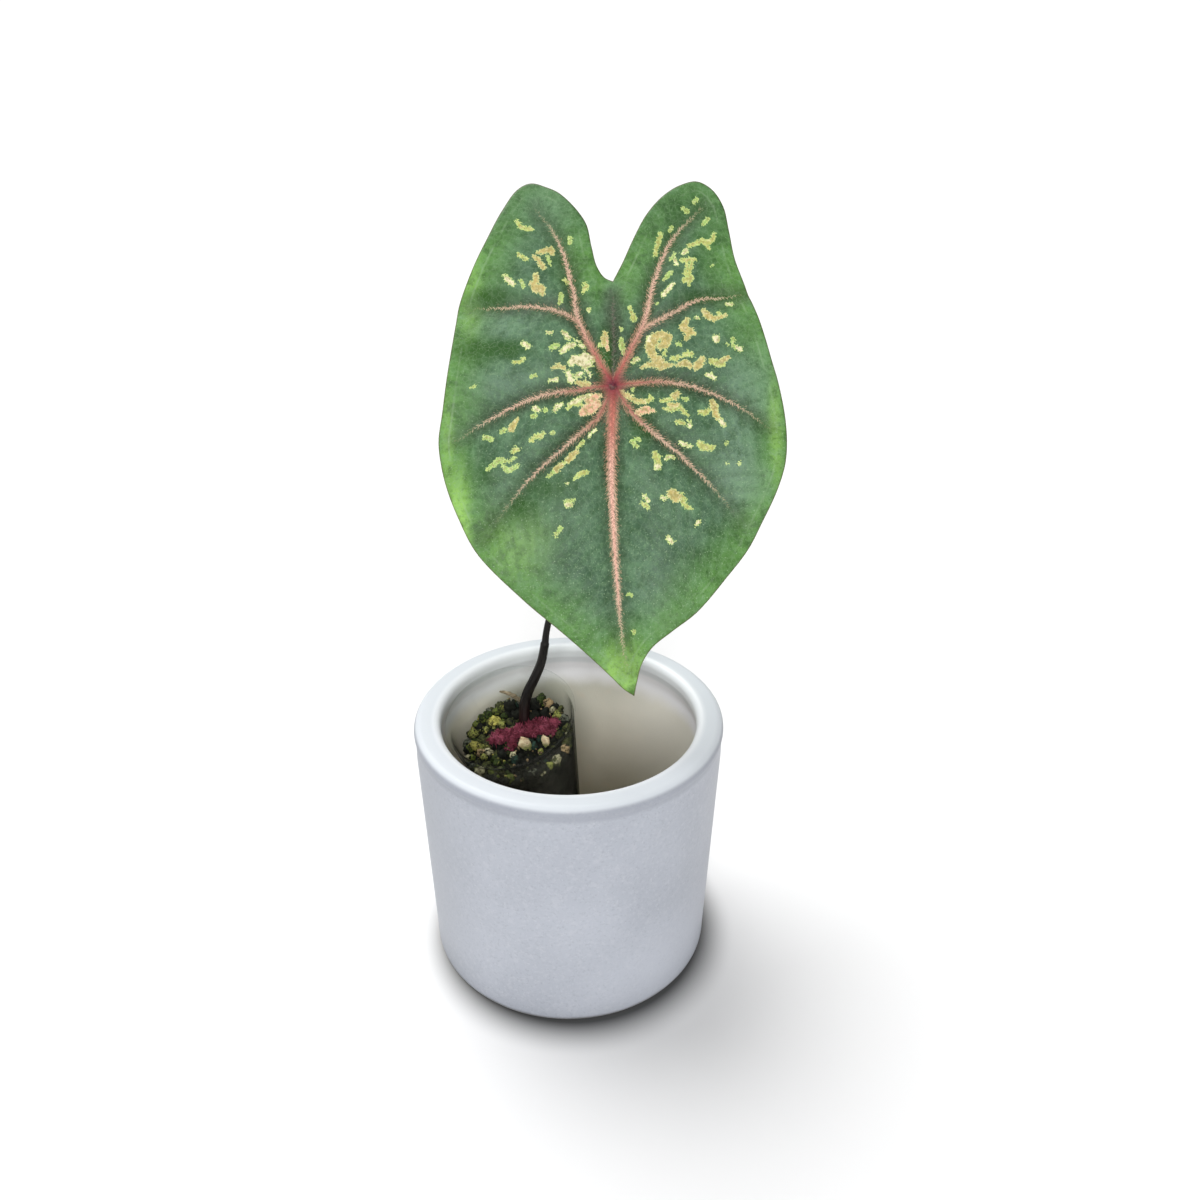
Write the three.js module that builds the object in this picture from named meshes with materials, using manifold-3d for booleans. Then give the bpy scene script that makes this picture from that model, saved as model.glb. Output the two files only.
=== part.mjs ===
// A potted caladium: one heart-shaped leaf on a dark petiole, grown from a tuber in a clear
// nursery cup that leans inside a white ceramic cover pot.
// Millimetres, +Z up. The origin is the centre of the pot's flat underside.
import * as THREE from "three";
import { mergeVertices } from "three/addons/utils/BufferGeometryUtils.js";
import Module from "manifold-3d";

const wasm = await Module();
wasm.setup();

const GAP = 0.3; // clearance between pieces that touch
const WELD = 1e-4; // vertices closer than this are one
const ARC_DIVISIONS = 2; // of an arc in a turned outline
const QUARTER = Math.PI / 2;
const TURN = Math.PI * 2;

// ---------------------------------------------------------------- driving dimensions

// The cover pot: a thick-rimmed cylinder that narrows a little towards its base.
const POT = {
  height: 124,
  rimRadius: 70,
  baseRadius: 66.5,
  floor: 10,
  wall: 9,
  rimWidth: 12,
  lipDepth: 7.5,
  lipCove: 2,
  outerFillet: 3.5,
  innerFillet: 4,
  baseFillet: 2.5,
  floorFillet: 6,
  segments: 56,
};

// The clear nursery cup, which leans to the front left with its rim on the pot's wall.
const CUP = {
  height: 112,
  mouthRadius: 29.7,
  baseRadius: 15,
  wall: 0.8,
  floor: 1,
  lip: 0.8,
  lipHeight: 1.6,
  baseFillet: 1.5,
  lean: THREE.MathUtils.degToRad(18.2),
  leanTowards: THREE.MathUtils.degToRad(236.3),
  baseX: -7.9,
  baseY: 31.6,
  segments: 40,
};

// The dark potting mix. Heights here and below are above the cup's own base.
const MIX = {
  top: 85.5,
  relief: 1.1, // depth of the hollows in its side
  rows: 10,
  footInset: 3,
};

// The granules on the mix, which stand out of a bed.
const TOPPING = {
  bedTop: 92.5,
  bedInset: 1.6,
  surface: 94, // mean level of the granules
  granule: 3, // mean radius
  onSurface: 54,
  surfaceInset: 1,
  atWall: 20,
  wallInset: 2.6,
  wallRows: [5.2, 2.2], // heights above the mix, in turn
};

// The dyed moss across the middle of the bed.
const MOSS = { clump: 3.6, core: 1.1, coreHeight: 0.9, rise: 1.4 };

// The tuber, just under the mix's surface.
const TUBER = { radius: 12.5, flatness: 0.68, depth: 24, lobes: 5, lobeDepth: 0.9 };

// The petiole, from the tuber to the leaf's underside.
const PETIOLE = {
  baseRadius: 2.7,
  sheathRadius: 1.9, // at the top of the sheath that wraps its foot
  stemRadius: 1.55, // just above the sheath
  topRadius: 1.3,
  sheathTop: 0.25, // share of the length above the surface
  stub: 5, // last stretch, which belongs to the leaf
  sides: 10,
  steps: 26,
  holeSides: 14,
  holeReach: 1.6, // end of its hole, as a share of the route below the surface
};

// The leaf: its frame has x to the right, y towards the lobes and z out of the upper face.
const LEAF = {
  position: [18.9, 18, 269.9], // where the petiole meets it
  lean: THREE.MathUtils.degToRad(30), // backwards from the vertical
  thickness: 0.85,
  samples: 88, // points round the margin
  rings: 10,
  ringPower: 0.85, // below 1, the rings lie closer towards the margin
  bossRadius: 3.4, // the swelling where the petiole joins
  bossFlatness: 0.4,
  stubSwell: 0.5,
  ribEnd: 0.4, // radius of a rib where it dies out
  ribSteps: 8,
  ribSides: 5,
};

// Form of the blade.
const FORM = {
  archAlong: 0.001, // both ends bend back
  archCentre: -20,
  archAcross: 0.0013, // both sides bend back
  foldRise: 2.2, // the two halves rise out of the midrib's valley
  foldSpan: 14,
  quiltRise: 1.5, // the pads between the veins
  quiltSpan: 9,
  waveHeight: 1.8, // waves of the margin
  waveCount: 7,
  tipCurl: 0.006,
  tipStart: -100,
};

// The margin, from the notch round each side to the tip.
const RIGHT_MARGIN = [
  [0.5, 43.5], [4.5, 51], [9, 61], [14.5, 71.5], [21.5, 80], [29, 85.5], [36.5, 88],
  [43, 85], [47.5, 78], [49.5, 67], [51.5, 54], [55.5, 41.5], [60, 28], [65, 12.5],
  [68.5, 1], [71, -16], [70, -31.5], [66.5, -43], [61, -55], [55, -66.5], [45.5, -78.5],
  [33, -92.5], [23, -100], [15, -106.5], [11, -113], [9, -121], [8, -126.5],
];
const LEFT_MARGIN = [
  [0.5, 43.5], [-3, 45.5], [-6, 50.5], [-8, 59], [-10.5, 70], [-20.5, 82.5], [-27, 86],
  [-33, 87.5], [-38.5, 84.5], [-45, 74], [-50.5, 62.5], [-57, 49], [-62.5, 35],
  [-64, 26], [-66, 11.5], [-69, -10], [-71, -22], [-70, -32], [-67.5, -42], [-63, -53.5],
  [-55.5, -68], [-37.5, -86.5], [-20.5, -101], [-11, -109.5], [-1, -119], [3.5, -123.5],
  [8, -126.5],
];

// The main veins, from the junction outwards. width is the groove's half width on the upper
// face, rib the radius of the raised rib underneath where it starts.
const VEINS = {
  midrib: {
    points: [[0, 0], [-1, -35], [0, -63], [1.5, -87], [3, -103], [5, -116]],
    groove: 1.5,
    width: 4,
    rib: 1.6,
  },
  lowerLeft: {
    points: [[0, 0], [-6, -13], [-16.5, -22.5], [-35, -39.5], [-45, -52], [-53, -63]],
    groove: 1.1,
    width: 3.4,
    rib: 1.15,
  },
  lowerRight: {
    points: [[0, 0], [9.5, -13.5], [26.5, -28.5], [42, -44], [52, -56]],
    groove: 1.1,
    width: 3.4,
    rib: 1.15,
  },
  middleLeft: {
    points: [[0, 0], [-16, -2.5], [-29, -4.5], [-47.5, -12.5], [-64, -22]],
    groove: 1,
    width: 3.2,
    rib: 1,
  },
  middleRight: {
    points: [[0, 0], [20, 1], [31, -0.5], [49, -7.5], [64, -17]],
    groove: 1,
    width: 3.2,
    rib: 1,
  },
  leftLobe: {
    points: [[0, 0], [-6, 10.5], [-13.5, 26.5], [-16.5, 43], [-22, 62], [-31, 76]],
    groove: 1.2,
    width: 3.4,
    rib: 1.2,
  },
  leftBranch: {
    points: [[-13.5, 26.5], [-19, 29.5], [-32, 32.5], [-46, 32.5], [-57, 33]],
    groove: 1,
    width: 3,
    rib: 0.85,
  },
  rightLobe: {
    points: [[0, 0], [6, 12], [13, 26.5], [17, 42], [24.5, 60.5], [38.5, 77]],
    groove: 1.2,
    width: 3.4,
    rib: 1.2,
  },
  rightBranch: {
    points: [[12, 23.5], [24, 29.5], [35, 35.5], [49.5, 37.5], [55, 38]],
    groove: 1,
    width: 3,
    rib: 0.85,
  },
  notch: {
    points: [[0, 0], [0.5, 22], [0.5, 37]],
    groove: 0.5,
    width: 2.4,
    rib: 0.75,
  },
};

// ---------------------------------------------------------------- helpers

// A repeatable random source, so that every build is the same.
function randomSource(seed) {
  let state = seed;
  return () => {
    state = (state + 0x6d2b79f5) | 0;
    let t = Math.imul(state ^ (state >>> 15), 1 | state);
    t = (t + Math.imul(t ^ (t >>> 7), 61 | t)) ^ t;
    return ((t ^ (t >>> 14)) >>> 0) / 4294967296;
  };
}

// A closed geometry as a solid that can be cut and joined.
function toSolid(geometry) {
  const bare = new THREE.BufferGeometry();
  bare.setAttribute("position", geometry.getAttribute("position"));
  bare.setIndex(geometry.index);
  const welded = mergeVertices(bare, WELD);
  return new wasm.Manifold(
    new wasm.Mesh({
      numProp: 3,
      vertProperties: welded.attributes.position.array,
      triVerts: new Uint32Array(welded.index.array),
    }),
  );
}

// A solid as a geometry again.
function toGeometry(solid) {
  const mesh = solid.getMesh();
  const geometry = new THREE.BufferGeometry();
  geometry.setAttribute("position", new THREE.BufferAttribute(mesh.vertProperties, 3));
  geometry.setIndex(new THREE.BufferAttribute(mesh.triVerts, 1));
  geometry.computeVertexNormals();
  return geometry;
}

function joined(solids) {
  return solids.reduce((whole, next) => whole.add(next));
}

// A cut can leave loose scraps, and only the main body is kept.
function mainBody(solid) {
  const bodies = solid.decompose();
  return bodies.reduce((most, next) => (next.volume() > most.volume() ? next : most));
}

// A profile of [radius, height] points turned about the z axis.
function turned(points, segments) {
  return new THREE.LatheGeometry(points, segments).rotateX(QUARTER);
}

// A smooth curve through points, without overshoot where they lie close.
function throughPoints(points) {
  return new THREE.CatmullRomCurve3(points, false, "centripetal");
}

// A tube along a curve, closed at both ends, whose radius changes along it.
function tapered(curve, radiusAt, sides, steps) {
  const { normals, binormals } = curve.computeFrenetFrames(steps, false);
  const positions = [];
  const faces = [];
  for (let i = 0; i <= steps; i++) {
    const share = i / steps;
    const centre = curve.getPointAt(share);
    const radius = radiusAt(share);
    for (let j = 0; j < sides; j++) {
      const angle = (j / sides) * TURN;
      const point = centre
        .clone()
        .addScaledVector(normals[i], Math.cos(angle) * radius)
        .addScaledVector(binormals[i], Math.sin(angle) * radius);
      positions.push(point.x, point.y, point.z);
    }
  }
  for (let i = 0; i < steps; i++) {
    for (let j = 0; j < sides; j++) {
      const a = i * sides + j;
      const b = i * sides + ((j + 1) % sides);
      faces.push(a, b, a + sides, b, b + sides, a + sides);
    }
  }
  const last = steps * sides;
  for (let j = 1; j < sides - 1; j++) {
    faces.push(0, j + 1, j, last, last + j, last + j + 1);
  }
  const geometry = new THREE.BufferGeometry();
  geometry.setAttribute("position", new THREE.Float32BufferAttribute(positions, 3));
  geometry.setIndex(faces);
  return geometry;
}

// A number between two limits.
function between(low, high, random) {
  return low + (high - low) * random();
}

// A rough pebble with a few flat sides, squeezed and turned at random.
function pebble(centre, radius, random) {
  const geometry = new THREE.IcosahedronGeometry(radius, 0);
  const turn = new THREE.Euler(random() * TURN, random() * TURN, random() * TURN);
  const squeeze = [0, 0, 0].map(() => between(0.78, 1, random));
  geometry.scale(...squeeze);
  geometry.applyMatrix4(new THREE.Matrix4().makeRotationFromEuler(turn));
  geometry.translate(...centre);
  return toSolid(geometry);
}

function material(color, roughness, extra = {}) {
  return new THREE.MeshStandardMaterial({ color, roughness, metalness: 0, ...extra });
}

function piece(name, geometry, look) {
  const mesh = new THREE.Mesh(geometry, look);
  mesh.name = name;
  return mesh;
}

// ---------------------------------------------------------------- frames

const UP = new THREE.Vector3(0, 0, 1);

// The cup and all that lies in it lean together.
const cupGroup = new THREE.Group();
const cupAxis = new THREE.Vector3(
  Math.sin(CUP.lean) * Math.cos(CUP.leanTowards),
  Math.sin(CUP.lean) * Math.sin(CUP.leanTowards),
  Math.cos(CUP.lean),
);
cupGroup.quaternion.setFromUnitVectors(UP, cupAxis);
const cupFoot = CUP.baseRadius - CUP.baseFillet;
cupGroup.position.set(
  CUP.baseX,
  CUP.baseY,
  POT.floor + GAP + cupFoot * Math.sin(CUP.lean) + CUP.baseFillet * (1 - Math.cos(CUP.lean)),
);
cupGroup.updateMatrixWorld(true);

const leafGroup = new THREE.Group();
leafGroup.position.set(...LEAF.position);
leafGroup.rotation.x = QUARTER - LEAF.lean;
leafGroup.updateMatrixWorld(true);

// ---------------------------------------------------------------- pot

function potGeometry() {
  const p = POT;
  const taper = (p.rimRadius - p.baseRadius) / p.height;
  const innerTop = p.rimRadius - taper * p.lipDepth - p.wall;
  const innerBase = p.baseRadius + taper * p.floor - p.wall;
  const lipRadius = p.rimRadius - p.rimWidth;
  const lipFoot = p.height - p.lipDepth;
  const path = new THREE.Path();
  path.moveTo(0, 0);
  path.lineTo(p.baseRadius - p.baseFillet, 0);
  path.absarc(p.baseRadius - p.baseFillet, p.baseFillet, p.baseFillet, -QUARTER, 0, false);
  path.absarc(
    p.rimRadius - p.outerFillet,
    p.height - p.outerFillet,
    p.outerFillet,
    0,
    QUARTER,
    false,
  );
  path.absarc(
    lipRadius + p.innerFillet,
    p.height - p.innerFillet,
    p.innerFillet,
    QUARTER,
    QUARTER * 2,
    false,
  );
  path.lineTo(lipRadius, lipFoot);
  path.lineTo(innerTop, lipFoot - p.lipCove);
  path.lineTo((innerTop + innerBase) / 2, p.height / 2);
  const floorArc = p.floor + p.floorFillet;
  path.absarc(innerBase - p.floorFillet, floorArc, p.floorFillet, 0, -QUARTER, true);
  path.lineTo(0, p.floor);
  return turned(path.getPoints(ARC_DIVISIONS), p.segments);
}

// ---------------------------------------------------------------- nursery cup

// The cup's outer radius at a height above its base.
function cupRadius(height) {
  return CUP.baseRadius + ((CUP.mouthRadius - CUP.baseRadius) * height) / CUP.height;
}

function cupGeometry() {
  const c = CUP;
  const lipFoot = c.height - c.lipHeight;
  const path = new THREE.Path();
  path.moveTo(0, 0);
  path.lineTo(c.baseRadius - c.baseFillet, 0);
  path.absarc(c.baseRadius - c.baseFillet, c.baseFillet, c.baseFillet, -QUARTER, 0, false);
  path.lineTo(cupRadius(lipFoot), lipFoot);
  path.lineTo(cupRadius(lipFoot) + c.lip, lipFoot + c.lip / 2);
  path.lineTo(c.mouthRadius + c.lip, c.height - c.lip / 2);
  path.lineTo(c.mouthRadius, c.height);
  path.lineTo(c.mouthRadius - c.wall, c.height - c.lip / 2);
  path.lineTo(cupRadius(c.floor) - c.wall, c.floor + c.wall);
  path.lineTo(cupRadius(c.floor) - 2 * c.wall, c.floor);
  path.lineTo(0, c.floor);
  return turned(path.getPoints(ARC_DIVISIONS), c.segments);
}

// A frustum that fills the cup between two heights, clear of its wall by the gap.
function cupFilling(low, high, inset = 0) {
  const clear = CUP.wall + GAP + inset;
  const points = [
    [0, low],
    [cupRadius(low) - clear, low],
    [cupRadius(high) - clear, high],
    [0, high],
  ];
  return turned(points.map((point) => new THREE.Vector2(...point)), CUP.segments);
}

// ---------------------------------------------------------------- petiole's route

// Below the surface the route is straight; above it, it rises, leans right and then bends
// forward to the leaf.
const ROUTE = [
  [-21.4, 18, 107.5],
  [-21.2, 19.3, 114.5],
  [-19.4, 20.3, 121.5],
  [-15.8, 21, 129.5],
  [-12.6, 21.6, 138],
  [-9.6, 22.4, 156],
  [-1.2, 24, 189],
  [9, 24.5, 226.5],
  [14.2, 23, 246],
  [18.9, 18, 269.9],
].map((point) => new THREE.Vector3(...point));
const stemDirection = new THREE.Vector3().subVectors(ROUTE[1], ROUTE[0]).normalize();
const tuberTop = ROUTE[0]
  .clone()
  .addScaledVector(stemDirection, TUBER.radius * TUBER.flatness - TUBER.depth);
const route = throughPoints([tuberTop, ...ROUTE]);
route.arcLengthDivisions = 400;
const routeLength = route.getLength();
const surfaceShare = tuberTop.distanceTo(ROUTE[0]) / routeLength;

// A stretch of the route, as a curve of its own.
function stretch(from, to, count) {
  const points = [];
  for (let i = 0; i <= count; i++) {
    points.push(route.getPointAt(from + ((to - from) * i) / count));
  }
  return throughPoints(points);
}

// The petiole's radius at a share of the whole route.
function petioleRadius(share) {
  const above = Math.max(0, (share - surfaceShare) / (1 - surfaceShare));
  const { baseRadius, sheathRadius, stemRadius, topRadius, sheathTop } = PETIOLE;
  if (above < sheathTop) {
    return THREE.MathUtils.lerp(baseRadius, sheathRadius, above / sheathTop);
  }
  const rest = (above - sheathTop) / (1 - sheathTop);
  return THREE.MathUtils.lerp(stemRadius, topRadius, rest);
}

const stubShare = 1 - PETIOLE.stub / routeLength;
const petioleEnd = stubShare - GAP / routeLength;

function petioleGeometry() {
  const start = GAP / routeLength;
  const curve = stretch(start, petioleEnd, 24);
  const radiusAt = (share) => petioleRadius(start + share * (petioleEnd - start));
  return tapered(curve, radiusAt, PETIOLE.sides, PETIOLE.steps);
}

// The plain hole that the petiole stands in, in the cup's frame.
function petioleHole() {
  const end = surfaceShare * PETIOLE.holeReach;
  const steps = 6;
  const curve = stretch(0, end, steps);
  const radiusAt = (share) => petioleRadius(share * end) + GAP;
  const hole = tapered(curve, radiusAt, PETIOLE.holeSides, steps);
  return toSolid(hole.applyMatrix4(cupGroup.matrixWorld.clone().invert()));
}

// ---------------------------------------------------------------- tuber and potting mix

const tuberCentre = cupGroup.worldToLocal(
  ROUTE[0].clone().addScaledVector(stemDirection, -TUBER.depth),
);

// An oblate, faintly lobed tuber whose flat axis follows the stem.
function tuberGeometry(grow) {
  const geometry = new THREE.SphereGeometry(1, 15, 9).rotateX(QUARTER);
  const position = geometry.getAttribute("position");
  const point = new THREE.Vector3();
  for (let i = 0; i < position.count; i++) {
    point.fromBufferAttribute(position, i);
    const around = Math.atan2(point.y, point.x);
    const rim = Math.hypot(point.x, point.y);
    const lobe = TUBER.lobeDepth * rim * Math.cos(TUBER.lobes * around);
    const radius = TUBER.radius + lobe + grow;
    point.multiply(new THREE.Vector3(radius, radius, TUBER.radius * TUBER.flatness + grow));
    position.setXYZ(i, point.x, point.y, point.z);
  }
  const toCup = cupGroup.quaternion.clone().invert();
  const localStem = stemDirection.clone().applyQuaternion(toCup);
  const turn = new THREE.Quaternion().setFromUnitVectors(UP, localStem);
  geometry.applyQuaternion(turn);
  geometry.translate(tuberCentre.x, tuberCentre.y, tuberCentre.z);
  return geometry;
}

// Dark mix up to the topping: its side is broken up by a relief that only cuts inwards.
function mixGeometry() {
  const clear = CUP.wall + GAP;
  const low = CUP.floor + GAP;
  const foot = low + CUP.wall;
  const footRadius = cupRadius(low) - MIX.footInset;
  const points = [new THREE.Vector2(0, low), new THREE.Vector2(footRadius, low)];
  for (let i = 0; i <= MIX.rows; i++) {
    const height = foot + ((MIX.top - foot) * i) / MIX.rows;
    points.push(new THREE.Vector2(cupRadius(height) - clear, height));
  }
  points.push(new THREE.Vector2(0, MIX.top));
  const geometry = turned(points, CUP.segments);
  const position = geometry.getAttribute("position");
  for (let i = 0; i < position.count; i++) {
    const x = position.getX(i);
    const y = position.getY(i);
    const z = position.getZ(i);
    const radius = Math.hypot(x, y);
    if (radius < 1 || z <= low) {
      continue;
    }
    const around = Math.atan2(y, x);
    const bumps = Math.sin(9 * around + z / 3) * Math.sin(z / 2.1 + 4 * around);
    const cut = (MIX.relief * (1 + bumps)) / 2;
    const share = (radius - cut) / radius;
    position.setXYZ(i, x * share, y * share, z);
  }
  return toGeometry(
    toSolid(geometry).subtract(toSolid(tuberGeometry(GAP))).subtract(petioleHole()),
  );
}

// ---------------------------------------------------------------- what lies on the mix

// What lies on the bed, as [x, y] in the cup's frame. The surface granules leave it free.
const MOSS_CLUMPS = [
  [-11, 0.8], [-8.7, 3], [-7.3, 0], [-3.8, 2], [-2.6, -1.5], [-2.8, -4.6], [0, 0.6], [1.2, 3.8],
  [4, 1.4], [5.8, 5], [8.2, 1.2], [10, 6], [11.8, 2.4], [14, 5.6], [15.6, 1.6], [17.4, 4.4],
];
const CHIPS = [
  { name: "cream_chip_1", at: [4.2, -6.8], size: [6, 3.2, 9], turn: 0.25, tilt: -0.12 },
  { name: "cream_chip_2", at: [13.8, -5.8], size: [5.6, 3, 7], turn: -0.3, tilt: 0.15 },
];
// The bark strip stands on its right end and slopes up to the left.
const BARK = { at: [-2.4, 22.4], size: [14, 2.2, 2.6], turn: 0.1, tilt: -0.1, slope: 0.85 };
const BARK_FOOT = [0.8, 22.6]; // where it stands
const CHIP_ROUGHNESS = 0.1;
const STEM_CLEAR = 1;
const CHIP_CLEAR = 3.9;
const BARK_CLEAR = 3.6;

const stemFoot = cupGroup.worldToLocal(ROUTE[0].clone());

const TAKEN = [
  [stemFoot.x, stemFoot.y, PETIOLE.baseRadius + STEM_CLEAR],
  ...CHIPS.map((chip) => [...chip.at, CHIP_CLEAR]),
  [...BARK_FOOT, BARK_CLEAR],
];

function isFree(x, y, radius, places) {
  return places.every(([px, py, clear]) => Math.hypot(x - px, y - py) > clear + radius);
}

// Granules spread evenly over the surface, left out where something else lies.
function surfaceGranules(random) {
  const places = [...TAKEN, ...MOSS_CLUMPS.map((at) => [...at, MOSS.clump])];
  const reach = cupRadius(TOPPING.surface) - CUP.wall - GAP - TOPPING.surfaceInset;
  const goldenAngle = Math.PI * (3 - Math.sqrt(5));
  const grains = [];
  for (let i = 0; i < TOPPING.onSurface; i++) {
    const distance = reach * Math.sqrt((i + 0.5) / TOPPING.onSurface);
    const angle = i * goldenAngle;
    const radius = TOPPING.granule * between(0.8, 1.15, random);
    const x = distance * Math.cos(angle);
    const y = distance * Math.sin(angle);
    if (isFree(x, y, radius * 0.9, places)) {
      const z = TOPPING.bedTop + between(0.3, 1.2, random);
      grains.push(pebble([x, y, z], radius, random));
    }
  }
  return grains;
}

// Two staggered rows of granules against the cup's wall.
function wallGranules(random) {
  const rows = TOPPING.wallRows;
  const grains = [];
  for (let i = 0; i < TOPPING.atWall; i++) {
    const angle = ((i + between(0, 0.3, random)) / TOPPING.atWall) * TURN;
    const height = MIX.top + GAP + rows[i % rows.length] + random();
    const distance = cupRadius(height) - CUP.wall - TOPPING.wallInset;
    const at = [distance * Math.cos(angle), distance * Math.sin(angle), height];
    grains.push(pebble(at, TOPPING.granule * 1.1, random));
  }
  return grains;
}

function toppingGeometry() {
  const random = randomSource(11);
  const bottom = MIX.top + GAP;
  const grains = [...surfaceGranules(random), ...wallGranules(random)];
  const bed = toSolid(cupFilling(bottom, TOPPING.bedTop, TOPPING.bedInset));
  const room = toSolid(cupFilling(bottom, TOPPING.surface + 2 * TOPPING.granule));
  const whole = joined([bed, ...grains]).intersect(room).subtract(petioleHole());
  return toGeometry(mainBody(whole));
}

// Dyed moss: fluffy clumps that run together round a low core.
function mossGeometry() {
  const random = randomSource(5);
  const floor = TOPPING.bedTop + GAP;
  const clumps = MOSS_CLUMPS.map(([x, y]) =>
    pebble([x, y, floor + MOSS.rise * (1 + random())], MOSS.clump, random),
  );
  const line = MOSS_CLUMPS.map(([x, y]) => new THREE.Vector3(x, y, floor + MOSS.coreHeight));
  const core = toSolid(tapered(throughPoints(line), () => MOSS.core, 6, 26));
  const high = floor + 20;
  const room = toSolid(cupFilling(floor, high));
  const whole = joined([core, ...clumps]).intersect(room).subtract(petioleHole());
  return toGeometry(mainBody(whole));
}

// A flat-sided chip standing on the bed. Its corners are pushed in and out by a rule that
// gives the same answer wherever a corner is met again.
function chipGeometry({ at, size, turn, tilt, slope = 0 }) {
  const geometry = new THREE.IcosahedronGeometry(0.5, 1);
  const position = geometry.getAttribute("position");
  const point = new THREE.Vector3();
  const mixed = new THREE.Vector3(41, 67, 23);
  for (let i = 0; i < position.count; i++) {
    point.fromBufferAttribute(position, i);
    point.multiplyScalar(1 + CHIP_ROUGHNESS * Math.sin(point.dot(mixed)));
    position.setXYZ(i, point.x, point.y, point.z);
  }
  geometry.scale(...size);
  geometry.rotateY(slope);
  geometry.rotateX(tilt);
  geometry.rotateZ(turn);
  geometry.computeBoundingBox();
  const lift = TOPPING.bedTop + GAP - geometry.boundingBox.min.z;
  geometry.translate(...at, lift);
  return geometry;
}

// ---------------------------------------------------------------- leaf

// Points in the leaf's plane as a smooth curve.
function smooth(points) {
  return throughPoints(points.map(([x, y]) => new THREE.Vector3(x, y, 0)));
}

// The margin as evenly spaced points, up the right side and back down the left one.
function marginPoints(count) {
  const half = count / 2;
  const right = smooth(RIGHT_MARGIN).getSpacedPoints(half);
  const left = smooth(LEFT_MARGIN).getSpacedPoints(half).reverse();
  return [...right.slice(0, half), ...left.slice(0, half)];
}

const margin = marginPoints(LEAF.samples);

const VEIN_STEPS = 24;
const veins = Object.values(VEINS).map((vein) => {
  const curve = smooth(vein.points);
  return { ...vein, curve, line: curve.getSpacedPoints(VEIN_STEPS) };
});

function distanceToLine(x, y, line) {
  let least = Infinity;
  for (let i = 0; i + 1 < line.length; i++) {
    const a = line[i];
    const b = line[i + 1];
    const dx = b.x - a.x;
    const dy = b.y - a.y;
    const along = ((x - a.x) * dx + (y - a.y) * dy) / (dx * dx + dy * dy);
    const share = Math.min(1, Math.max(0, along));
    least = Math.min(least, Math.hypot(x - a.x - share * dx, y - a.y - share * dy));
  }
  return least;
}

function bell(distance, width) {
  return Math.exp(-((distance / width) ** 2));
}

// Height of the blade's middle surface over the leaf's plane. edge is 0 at the junction and
// 1 at the margin.
function bladeHeight(x, y, edge) {
  const f = FORM;
  let height = f.archAlong * (f.archCentre ** 2 - (y - f.archCentre) ** 2);
  height -= f.archAcross * x * x;
  height += f.foldRise * (1 - bell(x, f.foldSpan));
  let nearest = Infinity;
  for (const vein of veins) {
    const distance = distanceToLine(x, y, vein.line);
    nearest = Math.min(nearest, distance);
    height -= vein.groove * bell(distance, vein.width) * Math.min(1, 3 * edge);
  }
  height += f.quiltRise * (1 - bell(nearest, f.quiltSpan)) * Math.min(1, 4 * edge);
  height += f.waveHeight * edge ** 4 * Math.sin(f.waveCount * Math.atan2(x, y));
  height -= f.tipCurl * Math.min(0, y - f.tipStart) ** 2;
  return height;
}

// The blade: rings round the junction, the same on both faces, closed along the margin.
function bladeSolid() {
  const { samples, rings, thickness } = LEAF;
  const positions = [];
  const faces = [];
  for (const side of [1, -1]) {
    const first = positions.length / 3;
    positions.push(0, 0, bladeHeight(0, 0, 0) + (side * thickness) / 2);
    for (let i = 1; i <= rings; i++) {
      const edge = (i / rings) ** LEAF.ringPower;
      for (const { x, y } of margin) {
        const px = x * edge;
        const py = y * edge;
        positions.push(px, py, bladeHeight(px, py, edge) + (side * thickness) / 2);
      }
    }
    const add = (a, b, c) => (side > 0 ? faces.push(a, c, b) : faces.push(a, b, c));
    for (let j = 0; j < samples; j++) {
      const next = (j + 1) % samples;
      add(first, first + 1 + j, first + 1 + next);
      for (let i = 0; i < rings - 1; i++) {
        const row = first + 1 + i * samples;
        add(row + j, row + samples + j, row + samples + next);
        add(row + j, row + samples + next, row + next);
      }
    }
  }
  const perFace = 1 + rings * samples;
  const outer = 1 + (rings - 1) * samples;
  for (let j = 0; j < samples; j++) {
    const next = (j + 1) % samples;
    const a = outer + j;
    const b = outer + next;
    faces.push(a, b, b + perFace, a, b + perFace, a + perFace);
  }
  const geometry = new THREE.BufferGeometry();
  geometry.setAttribute("position", new THREE.Float32BufferAttribute(positions, 3));
  geometry.setIndex(faces);
  return toSolid(geometry);
}

// How far out a point lies between the junction (0) and the margin (1), near enough for a rib.
function edgeShare(x, y) {
  const angle = Math.atan2(y, x);
  let least = Infinity;
  let reach = 1;
  for (const point of margin) {
    const turn = Math.abs(Math.atan2(point.y, point.x) - angle);
    if (turn < least) {
      least = turn;
      reach = Math.hypot(point.x, point.y);
    }
  }
  return Math.min(1, Math.hypot(x, y) / reach);
}

// A raised rib under each main vein, thinning to nothing before the margin.
function ribSolid(vein) {
  const points = vein.curve.getSpacedPoints(LEAF.ribSteps).map(({ x, y }) => {
    const height = bladeHeight(x, y, edgeShare(x, y));
    return new THREE.Vector3(x, y, height - LEAF.thickness / 2);
  });
  const radiusAt = (share) => THREE.MathUtils.lerp(vein.rib, LEAF.ribEnd, share);
  return toSolid(tapered(throughPoints(points), radiusAt, LEAF.ribSides, LEAF.ribSteps));
}

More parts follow.
